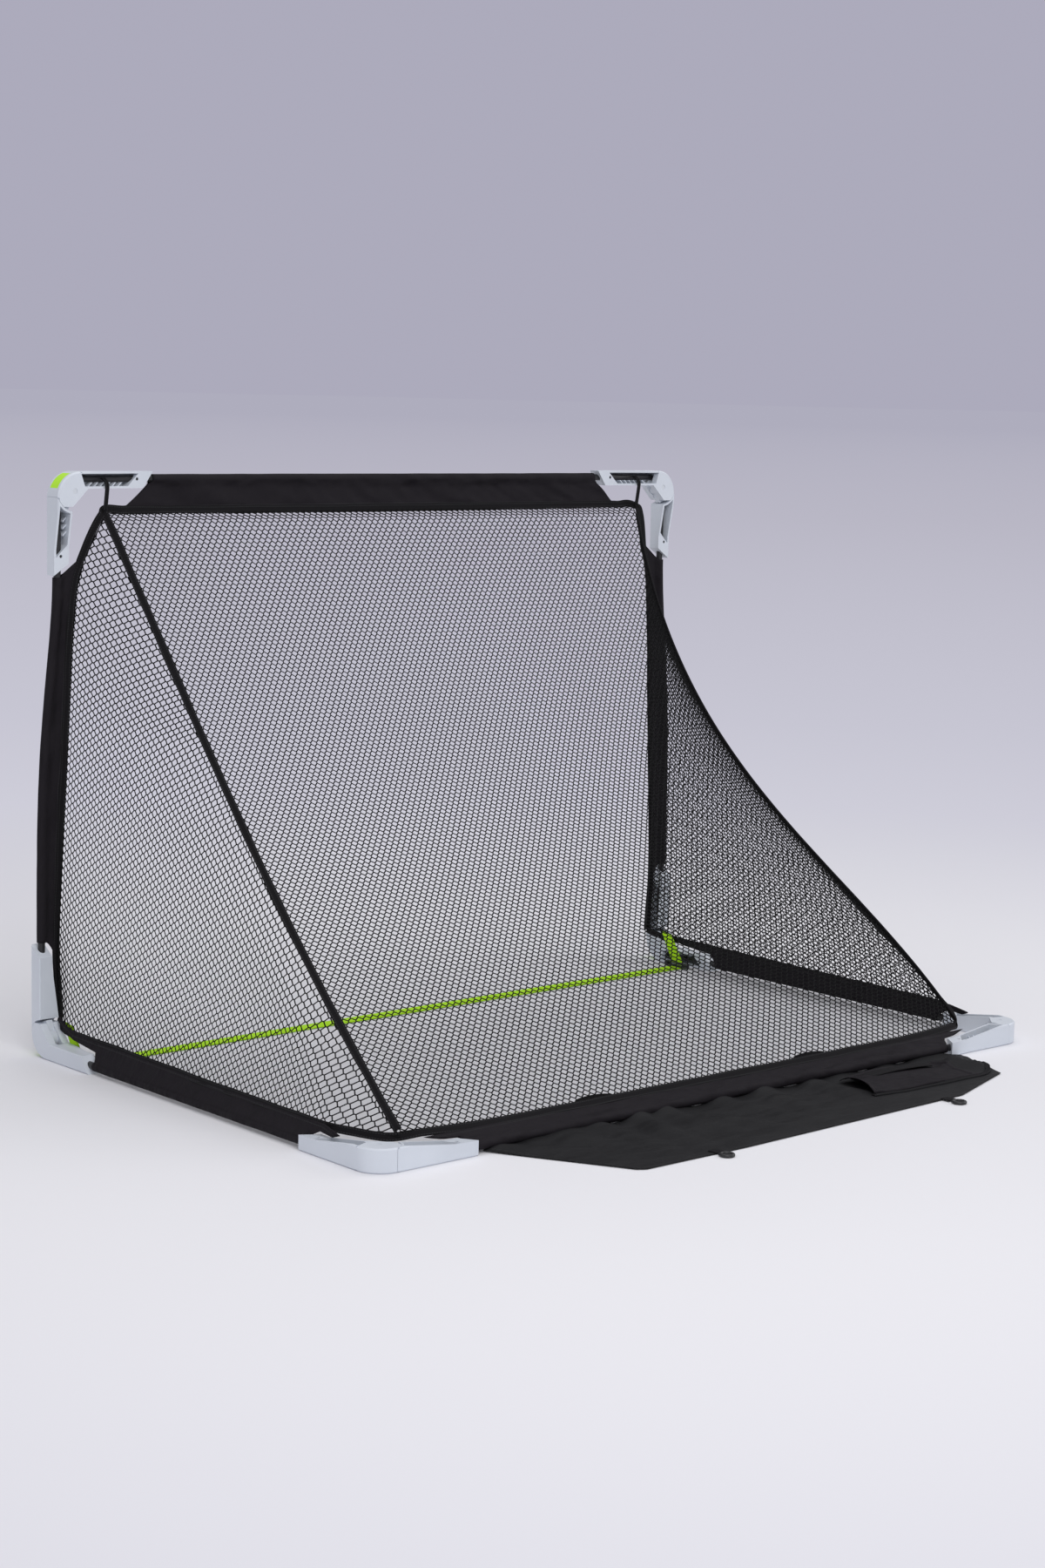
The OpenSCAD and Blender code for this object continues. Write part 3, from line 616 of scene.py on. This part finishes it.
def post_cloth(name, hand):
    """The cloth from a post to the mouth's edge; the post leans in towards its top."""
    rows, lean = 96, 25

    def place(u, v):
        v, rolled = rolled_rows(v, rows)
        rod = Vector((SIDE_ROD_X + lean * v**4 * (5 - 4*v), ROD, 158 + 499 * v))
        z = 134 + 548.4 * v
        edge = Vector((hem_x(z) + 0.8, hem_y(z), z))
        sway = 2.6 * ripple(z * 0.022 + abs(2 * u - 1) * 1.5, z * 0.004, hand * 3.0)
        radius = SLEEVE_RADIUS + 0.25 * ripple(z * 0.03, u * 3, 8.0)
        inwards, front = Vector((1, 0, 0)), Vector((0, -1, 0))
        point, from_edge = wrapped(rod, edge, inwards, front, u, rolled, radius, sway)
        reach = max(abs(2 * u - 1) - ROUND_ROD, 0) / (1 - ROUND_ROD)
        point.z += 7 * 4 * reach * (1 - reach) * max(0, 1 - v / 0.05)
        return mirrored(point, hand), (from_edge, z)

    kept(laid_out(44, rows, place, joined=True), "post_cloth_" + name, "front_frame", "sleeve_fabric",
         "post_sleeve_" + name)


def side_cloth(name, hand):
    """The tube of cloth round a side rod; the standing band is a piece of its own."""
    rows, starts, length = 80, 146, 466

    def place(u, v):
        v, rolled = rolled_rows(v, rows)
        y = starts + length * v
        turn = 2 * pi * u
        wave = ripple(y * 0.03, cos(turn) * 1.5, sin(turn) * 1.5 + hand)
        radius = ROLLED_RADIUS if rolled else SLEEVE_RADIUS + 0.3 * wave
        point = Vector((SIDE_ROD_X + radius * sin(turn), y, ROD + radius * cos(turn)))
        return mirrored(point, hand), (40 + 20 * u, y)

    kept(laid_out(28, rows, place, joined=True), "side_cloth_" + name, "base_frame", "sleeve_fabric",
         "side_sleeve_" + name)


# A side band's upper and lower edge: how far behind the goal line, and how far out from the rod.
BAND_TOP = ((28, 48), (50, 40), (72, 33.5), (120, 32.6), (262, 31), (380, 29.8), (500, 28.5), (612, 27.4),
            (640, 27), (662, 22.5), (673, 19.4))
BAND_FOOT = ((32, 40), (54, 30.5), (76, 24), (125, 19), (262, 3), (380, 3), (500, 3), (612, 3),
             (636, 16.6), (662, 14.2), (673, 18.8))
BAND_SLEEVE = (142, 616)


def side_band(name, hand):
    """Doubled cloth that stands up from a side rod to the net's foot; it spreads to meet its tube."""
    out = Vector((cos(SIDE_LEAN), 0, -sin(SIDE_LEAN)))
    starts, ends = BAND_SLEEVE
    on_rod = BAND_FOOT[4][1]

    def place(u, v):
        top, foot = between(BAND_TOP, v), between(BAND_FOOT, v)
        if starts + 1 < foot.x < BAND_FOOT[4][0]:
            foot.y = on_rod
        share = abs(2 * u - 1)
        here = top.lerp(foot, share)
        side = 1 if u > 0.5 else -1
        bead = CLOTH_HALF + 0.55 * max(0, 1 - abs(share - 0.1) / 0.12)
        low = max(0.0, 1 - (here.y - on_rod) / 14) if starts < here.x < ends else 0
        gap = (bead + 4.9 * low ** 1.2) * min(1.0, (share * 14) ** 0.5)
        if not low:
            gap *= min(1.0, ((1 - share) * 14) ** 0.5)
        sway = 1.3 * ripple(here.x * 0.02, share * 1.5, hand * 5.0) * sin(pi * share)
        point = Vector((SIDE_ROD_X + here.y * sin(SIDE_LEAN), here.x, ROD + here.y * cos(SIDE_LEAN)))
        point += out * (side * gap + sway)
        return mirrored(point, hand), (share * (top.y - foot.y), here.x)

    piece = kept(laid_out(28, 110, place, joined=True), "side_band_cloth_" + name, "base_frame",
                 "sleeve_fabric", "side_band_" + name)
    folds_down(piece)


def rear_cloth():
    """The cloth on the rear bar; its band reaches further than its tube, over the corner brackets."""
    rows, half_length = 150, 437
    over_bracket, to_corner = 17.5, 19.5

    def place(u, v):
        v, rolled = rolled_rows(v, rows)
        x = half_length * (2 * v - 1)
        rod = Vector((x, REAR_BAR_Y, ROD))
        sway = 0.9 * ripple(x * 0.02, u, 11.0)
        radius = SLEEVE_RADIUS + 0.2 * ripple(x * 0.03, u * 3, 12.0)
        point, from_edge = wrapped(rod, rod + REAR_UP * REAR_BAND, REAR_UP, REAR_OUT, u, rolled, radius, sway)
        reach = REAR_BAND - from_edge
        longer = 0.8 * min(reach, over_bracket) + 24 * min(max(reach - over_bracket, 0) / 2, 1)
        longer += 26 * min(max(reach - to_corner, 0) / (REAR_BAND - to_corner), 1)
        point.x *= 1 + longer / half_length
        return point, (from_edge, x)

    kept(laid_out(48, rows, place, joined=True), "rear_cloth", "base_frame", "sleeve_fabric", "rear_sleeve")


crossbar_cloth()
rear_cloth()
for name, hand in SIDES:
    post_cloth(name, hand)
    side_cloth(name, hand)
    side_band(name, hand)


# ------------------------------------------------net's shape
SEAM_TOP, SEAM_FOOT = Vector((-497, 24, 744)), Vector((-518, 711, 27))
SEAM_SAG, SEAM_SWING = Vector((-30, 13, 72)), Vector((-38, 9, 54))
# How far the back net goes on above its head, as a share of its height.
HEAD_SHARE = 0.02
RULE_STEPS = 240

# The side net's lower edge: along the standing band and across the rear corner.
FOOT_LINE = ((-564, 14, 50), (-569.5, 30, 45.5), (-575.5, 50, 43.5), (-577.2, 74, 42.5), (-577.6, 120, 42),
             (-578, 262, 40.3), (-579, 400, 38.8), (-579.4, 612, 37), (-574, 645, 34.5), (-547, 679, 29.5),
             (-518, 708, 24.5))


def seam_point(t):
    """The left seam between back and side net, from the mouth's top corner down to the rear corner."""
    w = 4 * t * (1 - t)
    return SEAM_TOP + (SEAM_FOOT - SEAM_TOP) * t - w * SEAM_SAG - w * (1 - 2*t) * SEAM_SWING


def back_point(s, a):
    """The back net from its head, s = 0, to its foot; above the head it goes in to the hem."""
    seam = seam_point(0.01 + 0.985 * max(s, 0))
    q = 2 * a - 1
    point = Vector(((-seam.x - 3) * q, seam.y + 24 * max(s, 0)**6 * (1 - q**8), seam.z))
    if s < 0:
        x = 491 * q
        drawn = 11 * min(max((abs(x) - 445) / 46, 0), 1)
        point = point.lerp(Vector((x, ROD + 1.2 + drawn, 742.5)), min(-s / HEAD_SHARE, 1))
    return point


def even_rows(count):
    """Values of s that part the back net's middle into rows of one height."""
    steps = 400
    line = [back_point(k / steps, 0.5) for k in range(steps + 1)]
    sums = [0.0]
    for a, b in zip(line, line[1:]):
        sums.append(sums[-1] + (b - a).length)
    rows, k = [], 0
    for row in range(count + 1):
        want = sums[-1] * row / count
        while k < steps - 1 and sums[k + 1] < want:
            k += 1
        rows.append((k + (want - sums[k]) / (sums[k + 1] - sums[k])) / steps)
    return rows


def side_rule(s):
    """The ends of a level line of the left side net."""
    z = 744 - 675 * s
    return Vector((hem_x(z) + 7.5, hem_y(z) + 1.6, z)), seam_point(s) - Vector((0, 2.6, 2.6))


RULES = [side_rule(k / RULE_STEPS) for k in range(RULE_STEPS + 1)]


def foot_spot(y):
    """The side net's lower edge at a depth."""
    for a, b in zip(FOOT_LINE, FOOT_LINE[1:]):
        if y <= b[1]:
            return Vector(a).lerp(Vector(b), max(y - a[1], 0) / (b[1] - a[1]))
    return Vector(FOOT_LINE[-1])


def side_spot(y, z):
    """The point of the left side net at a depth and height, drawn to the net's edge from outside it."""
    low, high = 0.012, 1.0
    for _ in range(14):
        s = (low + high) / 2
        k = min(int(s * RULE_STEPS), RULE_STEPS - 1)
        front, rear = (RULES[k][end].lerp(RULES[k + 1][end], s * RULE_STEPS - k) for end in (0, 1))
        free = (y - front.y) / (rear.y - front.y)
        a = min(max(free, 0.0), 1.0)
        straight = RULES[-1][0].lerp(RULES[-1][1], a)
        point = front.lerp(rear, a) + (foot_spot(straight.y) - straight) * s**5
        if point.z > z:
            low = s
        else:
            high = s
    inside = -0.0001 <= free <= 1.0001 and abs(point.z - z) < 0.6
    return point, inside


def side_cell(up, back):
    """The depth and height of a cell's corner: rows hang lower towards the back, most near the top."""
    pitch_up, pitch_back, starts = 10.25, 6.6, 4
    level = up * pitch_up
    narrowed = 1 - 0.13 * min(max((level - 176) / 218, 0), 1)
    y = starts + back * pitch_back * narrowed
    droop = 0.08 + 0.00019 * level + 0.2 * max(0, level - 480) / 240
    return y, level - droop * y


# ------------------------------------------------net
THREAD = 0.00175


def mesh_cells(columns, rows):
    """Six-sided cells a unit wide, in rows a unit apart that are set over by half a cell."""
    net = bmesh.new()
    ring = [net.verts.new(p) for p in ((0.5, -0.18, 0), (0.5, 0.18, 0), (0, 0.82, 0), (-0.5, 0.18, 0),
                                       (-0.5, -0.18, 0), (0, -0.82, 0))]
    net.faces.new(ring)
    for step, times in (((1, 0, 0), columns), ((0.5, 1, 0), 1), ((0, 2, 0), rows // 2)):
        bmesh.ops.spin(net, geom=net.verts[:] + net.edges[:] + net.faces[:], cent=(0, 0, 0), axis=(0, 0, 1),
                       dvec=step, angle=0, space=Matrix(), steps=times, use_duplicate=True)
    bmesh.ops.remove_doubles(net, verts=net.verts[:], dist=0.01)
    return net


def without_slivers(net, least):
    """Cells that the edge has cut to almost nothing go, and their corners close up."""
    bmesh.ops.dissolve_degenerate(net, dist=1e-5, edges=net.edges[:])
    thin = [face for face in net.faces if face.calc_area() < least]
    bmesh.ops.delete(net, geom=thin, context="FACES")
    loose = [vert for vert in net.verts if not vert.link_faces]
    bmesh.ops.delete(net, geom=loose, context="VERTS")


def knitted(net):
    """The cells' edges become threads."""
    bmesh.ops.recalc_face_normals(net, faces=net.faces[:])
    net.normal_update()
    bmesh.ops.wireframe(net, faces=net.faces[:], thickness=THREAD, offset=0, use_replace=True,
                        use_boundary=True, use_even_offset=True)


def back_net():
    """The back net, in three lengths that share their rows of cells."""
    columns, rows, over = 92, 158, 3
    spread = even_rows(rows)
    flat = mesh_cells(columns, rows + over + 1)
    for vert in flat.verts:
        vert.co.x = min(max(vert.co.x, 0), columns)
        vert.co.y = min(max(vert.co.y, 0), rows + over)
    without_slivers(flat, 0.1)
    for part, low, high in (("low", 0, 1/3), ("middle", 1/3, 2/3), ("high", 2/3, 1.1)):
        net = flat.copy()
        extra = [face for face in net.faces if not low <= face.calc_center_median().y / rows < high]
        bmesh.ops.delete(net, geom=extra, context="FACES")
        for vert in net.verts:
            below = rows - vert.co.y
            k = min(max(int(below), 0), rows - 1)
            s = spread[k] + (spread[k + 1] - spread[k]) * (below - k)
            if below < 0:
                s = HEAD_SHARE * below / over
            vert.co = at(*back_point(s, vert.co.x / columns))
        knitted(net)
        piece = kept(net, "back_net_" + part, "base_frame", "net_mesh", "back_net", turned=False)
        folds_down(piece)
    flat.free()


def side_nets():
    """Two triangles of net; the right one is the left one turned over."""
    whole = mesh_cells(92, 116)
    places = {}
    for vert in whole.verts:
        point, places[vert] = side_spot(*side_cell(vert.co.x, vert.co.y))
        vert.co = at(*point)
    outside = [face for face in whole.faces if not any(places[v] for v in face.verts)]
    bmesh.ops.delete(whole, geom=outside, context="FACES")
    without_slivers(whole, 6e-6)
    for name, hand in SIDES:
        net = whole.copy()
        if hand < 0:
            bmesh.ops.transform(net, matrix=Matrix.Diagonal((-1, 1, 1, 1)), verts=net.verts[:])
            bmesh.ops.reverse_faces(net, faces=net.faces[:])
        knitted(net)
        piece = kept(net, "side_net_cells_" + name, "base_frame", "net_mesh", "side_net_" + name,
                     turned=False)
        folds_down(piece)
    whole.free()


def seam_tapes():
    """Tape over each seam, from the hem's corner down to the rear corner."""
    corner, steps = Vector((-499, 20, 750)), 214
    line = [corner.lerp(seam_point(0.02), k / 6) for k in range(6)]
    line += [seam_point(0.02 + 0.972 * k / steps) for k in range(steps + 1)]
    for name, hand in SIDES:
        route = []
        for point, ahead in headings(line):
            out = Vector((-0.7, 0.5, 0.5))
            out = (out - ahead * out.dot(ahead)).normalized()
            route.append([mirrored(v, hand) for v in (point, ahead.cross(out), out)])
        piece = kept(tape(route, 10.5, 3.0, SEAM, wander=0.9, seed=20 * hand), "seam_tape_cloth_" + name,
                     "base_frame", "hem_tape", "seam_tape_" + name)
        folds_down(piece)


def softened(line):
    """A line whose inner points have moved a little towards their neighbours."""
    return line[:1] + [(a + 2 * b + c) / 4 for a, b, c in zip(line, line[1:], line[2:])] + line[-1:]


def foot_hem():
    """Binding along the net's lower edge: down each side, round the rear corners and across the back."""
    side_steps, back_steps = 149, 130
    half = [(Vector((-561, 11.5, 53)), Vector((0.25, 0.3, 1)))]
    for k in range(side_steps + 1):
        half.append((foot_spot(14 + 692 * k / side_steps), Vector((0.25, 0, 1))))
    for k in range(back_steps + 1):
        half.append((back_point(1, 0.012 + 0.488 * k / back_steps), Vector((0, -0.6, 0.8))))
    whole = half + [(mirrored(p, -1), mirrored(d, -1)) for p, d in reversed(half[:-1])]
    line, leans = [p for p, _ in whole], [d for _, d in whole]
    for _ in range(6):
        line, leans = softened(line), softened(leans)
    route = []
    for (point, ahead), lean in zip(headings(line), leans):
        across = (lean - ahead * lean.dot(ahead)).normalized()
        route.append((point - across * 3.2, across, ahead.cross(across)))
    piece = kept(tape(route, 11, 3.0, wander=0.7, seed=44), "net_foot_hem", "base_frame", "hem_tape")
    folds_down(piece)


back_net()
side_nets()
seam_tapes()
foot_hem()


# ------------------------------------------------webbing
END_PINCH = 0.3


def doubled(u, v, half, rounding, end=END_PINCH):
    """A doubled strap in section: how far across it a point lies, and how far out of its middle."""
    share, side = abs(2 * u - 1), 1 if u > 0.5 else -1
    out = side * half * min(1.0, (share * rounding) ** 0.5, ((1 - share) * rounding) ** 0.5)
    if v in (0, 1):
        out *= end
    return share, out


def strap():
    """Neon webbing along the goal line."""
    half_length, width, front = 570, 27.4, 74.3

    def place(u, v):
        share, out = doubled(u, v, 0.85, 12)
        x, y = half_length * (2 * v - 1), front + width * share
        return Vector((x, y, 1.2 + out)), (y - 88, x)

    kept(laid_out(20, 190, place, joined=True), "goal_line_webbing", "base_frame", "neon_webbing",
         "goal_line_strap")


def corner_webbing(name, hand):
    """A neon tab that stands from a front foot up to the net's lower corner."""
    width = 26

    def place(u, v):
        share, out = doubled(u, v, 0.8, 12)
        low, high = Vector((0, 63 + width * share, 3)), Vector((0, 35 + width * share, 51 - 4 * share))
        here = low.lerp(high, v)
        bend = 1.1 * sin(pi * v) * sin(pi * share)
        return mirrored(Vector((-570 + out - bend, here.y, here.z)), hand), (width * share - 13, 56 * v)

    piece = kept(laid_out(20, 24, place, joined=True), "corner_webbing_" + name, "base_frame",
                 "neon_webbing", "corner_tab_" + name)
    folds_down(piece)


def closure_tab(middle):
    """A loop of tape on the rear band's inner face."""
    length, width = 60, 23

    def place(u, v):
        share, off = doubled(u, v, 0.7, 8, end=1)
        arch = sin(pi * v) ** 0.5
        foot = Vector((middle + length * (v - 0.5), REAR_BAR_Y, ROD))
        reach = 19 + width * share * (0.8 + 0.2 * arch)
        return (foot + REAR_UP * reach - REAR_OUT * (2.5 + 0.5 * arch) + REAR_OUT * off,
                (width * share - 11.5, length * v))

    return laid_out(14, 24, place, joined=True)


strap()
kept(gathered([closure_tab(-187), closure_tab(214)]), "closure_tabs", "base_frame", "hem_tape",
     "closure_loops")
for name, hand in SIDES:
    corner_webbing(name, hand)


# ------------------------------------------------carry bag
# The flap's outline, across and behind the goal line; its first side is sewn to the rear bar.
FLAP = ((-436, 754.5), (424, 754.5), (328, 925.5), (317, 932.5), (147, 934.5), (-276, 922.5),
        (-415, 873.5), (-453, 770.5))
FLAP_MIDDLE, FLAP_SIZE = (-14.5, 844.5, 0), (877, 180, 1, 1)
# Folds that run from the bar to the free edge: start, end, height and half width.
RIDGES = (((169, 757), (193, 923), 7.82, 25.5), ((121, 757), (98, 900), 5.98, 22.1),
          ((-151, 771), (-167, 895), 6.9, 28.9), ((92, 800), (30, 930), 5.06, 27.2),
          ((402, 765), (250, 905), 5.98, 25.5), ((300, 757), (262, 880), 5.98, 30.6),
          ((-60, 757), (-40, 905), 5.52, 27.2), ((20, 757), (-30, 920), 4.6, 23.8),
          ((233, 757), (240, 930), 5.52, 25.5))
# Two folds at the lifted corner.
CORNER_FOLDS = (((-430, 836), (-392, 800), 9.0, 30), ((-446, 790), (-360, 815), 6.0, 16))
POCKET = ((-190, 779), (-168, 862), (-379, 867), (-380, 779))
PIPING = ((-165, 862), (-270, 866), (-379, 868), (-420, 846), (-436, 822))


def off_line(x, y, start, end):
    """How far a point is from a stretch of line, and how far along it."""
    run = Vector((end[0] - start[0], end[1] - start[1]))
    along = min(max(Vector((x - start[0], y - start[1])).dot(run) / run.length_squared, 0), 1)
    return (Vector(start).lerp(Vector(end), along) - Vector((x, y))).length, along


def from_rim(x, y):
    """How far a point of the flap is from its free edges."""
    return min(off_line(x, y, a, b)[0] for a, b in zip(FLAP[1:], FLAP[2:] + FLAP[:1]))


def flap_rise(x, y):
    """How high the flap's underside stands off the ground."""
    rise = 0.0
    for start, end, height, width in RIDGES:
        away, along = off_line(x, y, start, end)
        rise = max(rise, height * (1 - along) ** 0.8 * max(0.0, 1 - (away / width) ** 2) ** 1.5)
    root = max(0.0, 1 - (y - REAR_BAR_Y) / 26)
    rise += root * root * (4.2 + 3.4 * sin(x * 0.057 + 1.3 * sin(x * 0.021)))
    for start, end, height, width in CORNER_FOLDS:
        rise += height * max(0.0, 1 - off_line(x, y, start, end)[0] / width) ** 1.5
    rise += 2.2 * max(0.0, ripple(x * 0.020 + y * 0.012, y * 0.006, 4.0))
    rise += 0.7 * (ripple(x * 0.02, y * 0.03, 6.0) + 0.5)
    return rise * min(1.0, (from_rim(x, y) + 3) / 14)


def flap():
    """The bag's flap, laid on the ground in folds, with a turned hem along its free edges."""
    cloth = bmesh.new()
    bmesh.ops.create_grid(cloth, x_segments=176, y_segments=36, size=0.5)
    spread = Matrix.Translation(FLAP_MIDDLE) @ Matrix.Diagonal(FLAP_SIZE)
    bmesh.ops.transform(cloth, matrix=spread, verts=cloth.verts[:])
    for a, b in zip(FLAP, FLAP[1:] + FLAP[:1]):
        away = Vector((b[1] - a[1], a[0] - b[0], 0))
        bmesh.ops.bisect_plane(cloth, geom=cloth.verts[:] + cloth.edges[:] + cloth.faces[:], dist=1e-4,
                               plane_co=(*a, 0), plane_no=away, clear_outer=True)
    spots = {vert: (from_rim(vert.co.x, vert.co.y), vert.co.x + vert.co.y) for vert in cloth.verts}
    chart_cloth(cloth, cloth.loops.layers.uv.new("Cloth"), spots)
    for vert in cloth.verts:
        x, y, _ = vert.co
        hem = 0.45 if from_rim(x, y) < 8 else 0
        vert.co = at(x, y, 1.0 + hem + flap_rise(x, y))
    piece = kept(cloth, "flap_cloth", "bag", "bag_fabric", "bag_flap")
    thickened(piece, 1.0)


def pocket():
    """A flat pocket whose mouth stands a little open towards the middle of the flap."""
    length, width = 200, 85
    foot_near, head_near, head_far, foot_far = (Vector((*corner, 0)) for corner in POCKET)

    def place(u, v):
        here = foot_near.lerp(foot_far, u).lerp(head_near.lerp(head_far, u), v)
        mouth = 11.0 * sin(pi * v) ** 0.7 * max(0, 1 - u) ** 0.7
        middle = 2.5 * sin(pi * v) * sin(pi * u)
        bar_side = 5.5 * max(0, 1 - v * 2.5) * sin(pi * min(u * 1.3, 1)) ** 0.6
        seam = 1.5 if min(v, 1 - v, 1 - u, u + 0.03) < 0.06 else 0
        ground = flap_rise(here.x, here.y) * 0.9
        wave = 0.8 * ripple(here.x * 0.03, here.y * 0.04, 9.0)
        rise = 2.4 + seam + mouth + middle + bar_side + ground + wave
        edge = min(u * length, (1 - u) * length, v * width, (1 - v) * width)
        return Vector((here.x, here.y, rise)), (edge, length * u + width * v)

    piece = kept(laid_out(64, 30, place), "pocket_cloth", "bag", "sleeve_fabric", "bag_pocket")
    thickened(piece, 0.9)


def piping():
    """A sewn edge that runs from under the pocket to the flap's far corner."""
    line = [rounded(PIPING, k / 90).to_3d() for k in range(91)]
    route = []
    for point, ahead in headings(line):
        up = Vector((0, 0, 1))
        height = 2.6 + flap_rise(point.x, point.y)
        route.append((point + up * height, up.cross(ahead), up))
    kept(tape(route, 7, 3.2, wander=0.5, seed=31), "pocket_piping", "bag", "hem_tape")


def handle():
    """A doubled carrying strap sewn down at both ends."""
    starts, length, width = -345, 150, 19

    def place(u, v):
        share, out = doubled(u, v, 0.9, 10)
        x = starts + length * v
        lift, sway = 5.5 * sin(pi * v) ** 0.7, 3 * sin(pi * v)
        return Vector((x, 793 + sway + width * share, 9.2 + lift + out)), (width * share - 9.5, x)

    kept(laid_out(20, 60, place, joined=True), "handle_strap", "bag", "hem_tape", "bag_handle")


def hook_tab(middle):
    """A short doubled tab round a hook's bar."""
    half_width, length = 7.8, 14.4

    def place(u, v):
        turn = 2 * pi * u
        x = middle + half_width * (abs(cos(turn)) ** 0.4) * (1 if cos(turn) > 0 else -1)
        y = 920.8 + length * v
        z = 2.6 + (0.85 + 0.2 * v) * sin(turn) * (END_PINCH if v in (0, 1) else 1)
        return Vector((x, y, z)), (x - middle, y)

    return laid_out(20, 14, place, joined=True)


flap()
pocket()
piping()
handle()
kept(gathered([hook_tab(-240), hook_tab(196)]), "hook_webbing", "bag", "hem_tape", "hook_tabs")


# ------------------------------------------------studio
# Painted light on the floor: glowing tones that fall off from near the goal to far off, as the camera sees
# them.
PAINTED_FLOOR_FALLOFF = ((0.0, (0.80, 0.79, 0.84)), (0.16, (0.665, 0.66, 0.738)), (0.36, (0.571, 0.565, 0.651)),
               (0.66, (0.485, 0.474, 0.558)), (1.0, (0.425, 0.418, 0.51)))
BACKDROP = (0.415, 0.406, 0.502)
SKY = (0.95, 0.95, 1.0)
LAMPS = (("key", (1.8, 2.9, 2.9), 2.4, 66), ("top", (-0.5, -0.5, 4.2), 3.0, 34),
         ("fill", (-3.5, 1.5, 2.2), 2.0, 30))
LIT_POINT = Vector((0, 0, 0.3))


def mix_shaders(tree, mask, first, second):
    node = tree.nodes.new("ShaderNodeMixShader")
    for socket, value in zip(node.inputs, (mask, first, second)):
        tree.links.new(value, socket)
    return node.outputs[0]


def painted_falloff_ramp(tree, place):
    """The floor's painted light falloff: glowing tones along a value from 0 to 1."""
    node = add_node(tree, "ValToRGB", {"Fac": place})
    ramp = node.color_ramp.elements
    ramp[0].color = (*PAINTED_FLOOR_FALLOFF[0][1], 1)
    ramp[-1].color = (*PAINTED_FLOOR_FALLOFF[-1][1], 1)
    for where, tone in PAINTED_FLOOR_FALLOFF[1:-1]:
        ramp.new(where).color = (*tone, 1)
    return node.outputs["Color"]


def floor_material():
    """A pale lit floor near the goal that goes over into a glow with painted light falloff towards the
    backdrop's grey; the lit part keeps its shadows.
    """
    material, tree, shader = finish_material("studio_floor", Base_Color=(0.86, 0.855, 0.885), Roughness=0.9,
                                             Specular_IOR_Level=0.2)
    away = tree.nodes.new("ShaderNodeVectorMath")
    away.operation = "LENGTH"
    tree.links.new(object_place(tree), away.inputs[0])
    far = math_node(tree, "LOGARITHM", away.outputs["Value"], 10.0)
    # Far off, seen rays get an emission whose tones paint the lamps' falloff on the floor.
    glow = add_node(tree, "Emission", {"Color": painted_falloff_ramp(tree, stretch(tree, far, -0.15, 2.0))})
    path = tree.nodes.new("ShaderNodeLightPath").outputs
    seen = math_node(tree, "MAXIMUM", path["Is Camera Ray"], path["Is Glossy Ray"])
    seen = math_node(tree, "MAXIMUM", seen, path["Is Transmission Ray"])
    fade = math_node(tree, "MULTIPLY", stretch(tree, away.outputs["Value"], 0.9, 2.6), seen)
    surface = mix_shaders(tree, fade, shader.outputs[0], glow.outputs[0])
    tree.links.new(surface, tree.nodes["Material Output"].inputs["Surface"])
    return material


def lay_floor():
    """A wide round floor under the goal."""
    ground = bmesh.new()
    bmesh.ops.create_circle(ground, cap_ends=True, radius=400, segments=96)
    mesh = bpy.data.meshes.new("floor")
    ground.to_mesh(mesh)
    ground.free()
    mesh.materials.append(floor_material())
    floor = bpy.data.objects.new("floor", mesh)
    bpy.context.scene.collection.objects.link(floor)


def light_world():
    """An even pale sky; the camera sees the backdrop's grey."""
    world = bpy.data.worlds.new("studio")
    bpy.context.scene.world = world
    world.use_nodes = True
    tree = world.node_tree
    lit = tree.nodes["Background"]
    feed(tree, lit.inputs["Color"], SKY)
    feed(tree, lit.inputs["Strength"], 0.5)
    shown = add_node(tree, "Background", {"Color": BACKDROP})
    path = tree.nodes.new("ShaderNodeLightPath")
    surface = mix_shaders(tree, path.outputs["Is Camera Ray"], lit.outputs[0], shown.outputs[0])
    tree.links.new(surface, tree.nodes["World Output"].inputs["Surface"])


def hang_lamp(name, place, size, power):
    """A square soft box that faces the goal's middle."""
    data = bpy.data.lights.new(name, "AREA")
    data.size = size
    data.energy = power
    lamp = bpy.data.objects.new(name, data)
    aim = LIT_POINT - Vector(place)
    lamp.matrix_world = Matrix.Translation(place) @ aim.to_track_quat("-Z", "Y").to_matrix().to_4x4()
    bpy.context.scene.collection.objects.link(lamp)


lay_floor()
light_world()
for lamp in LAMPS:
    hang_lamp(*lamp)
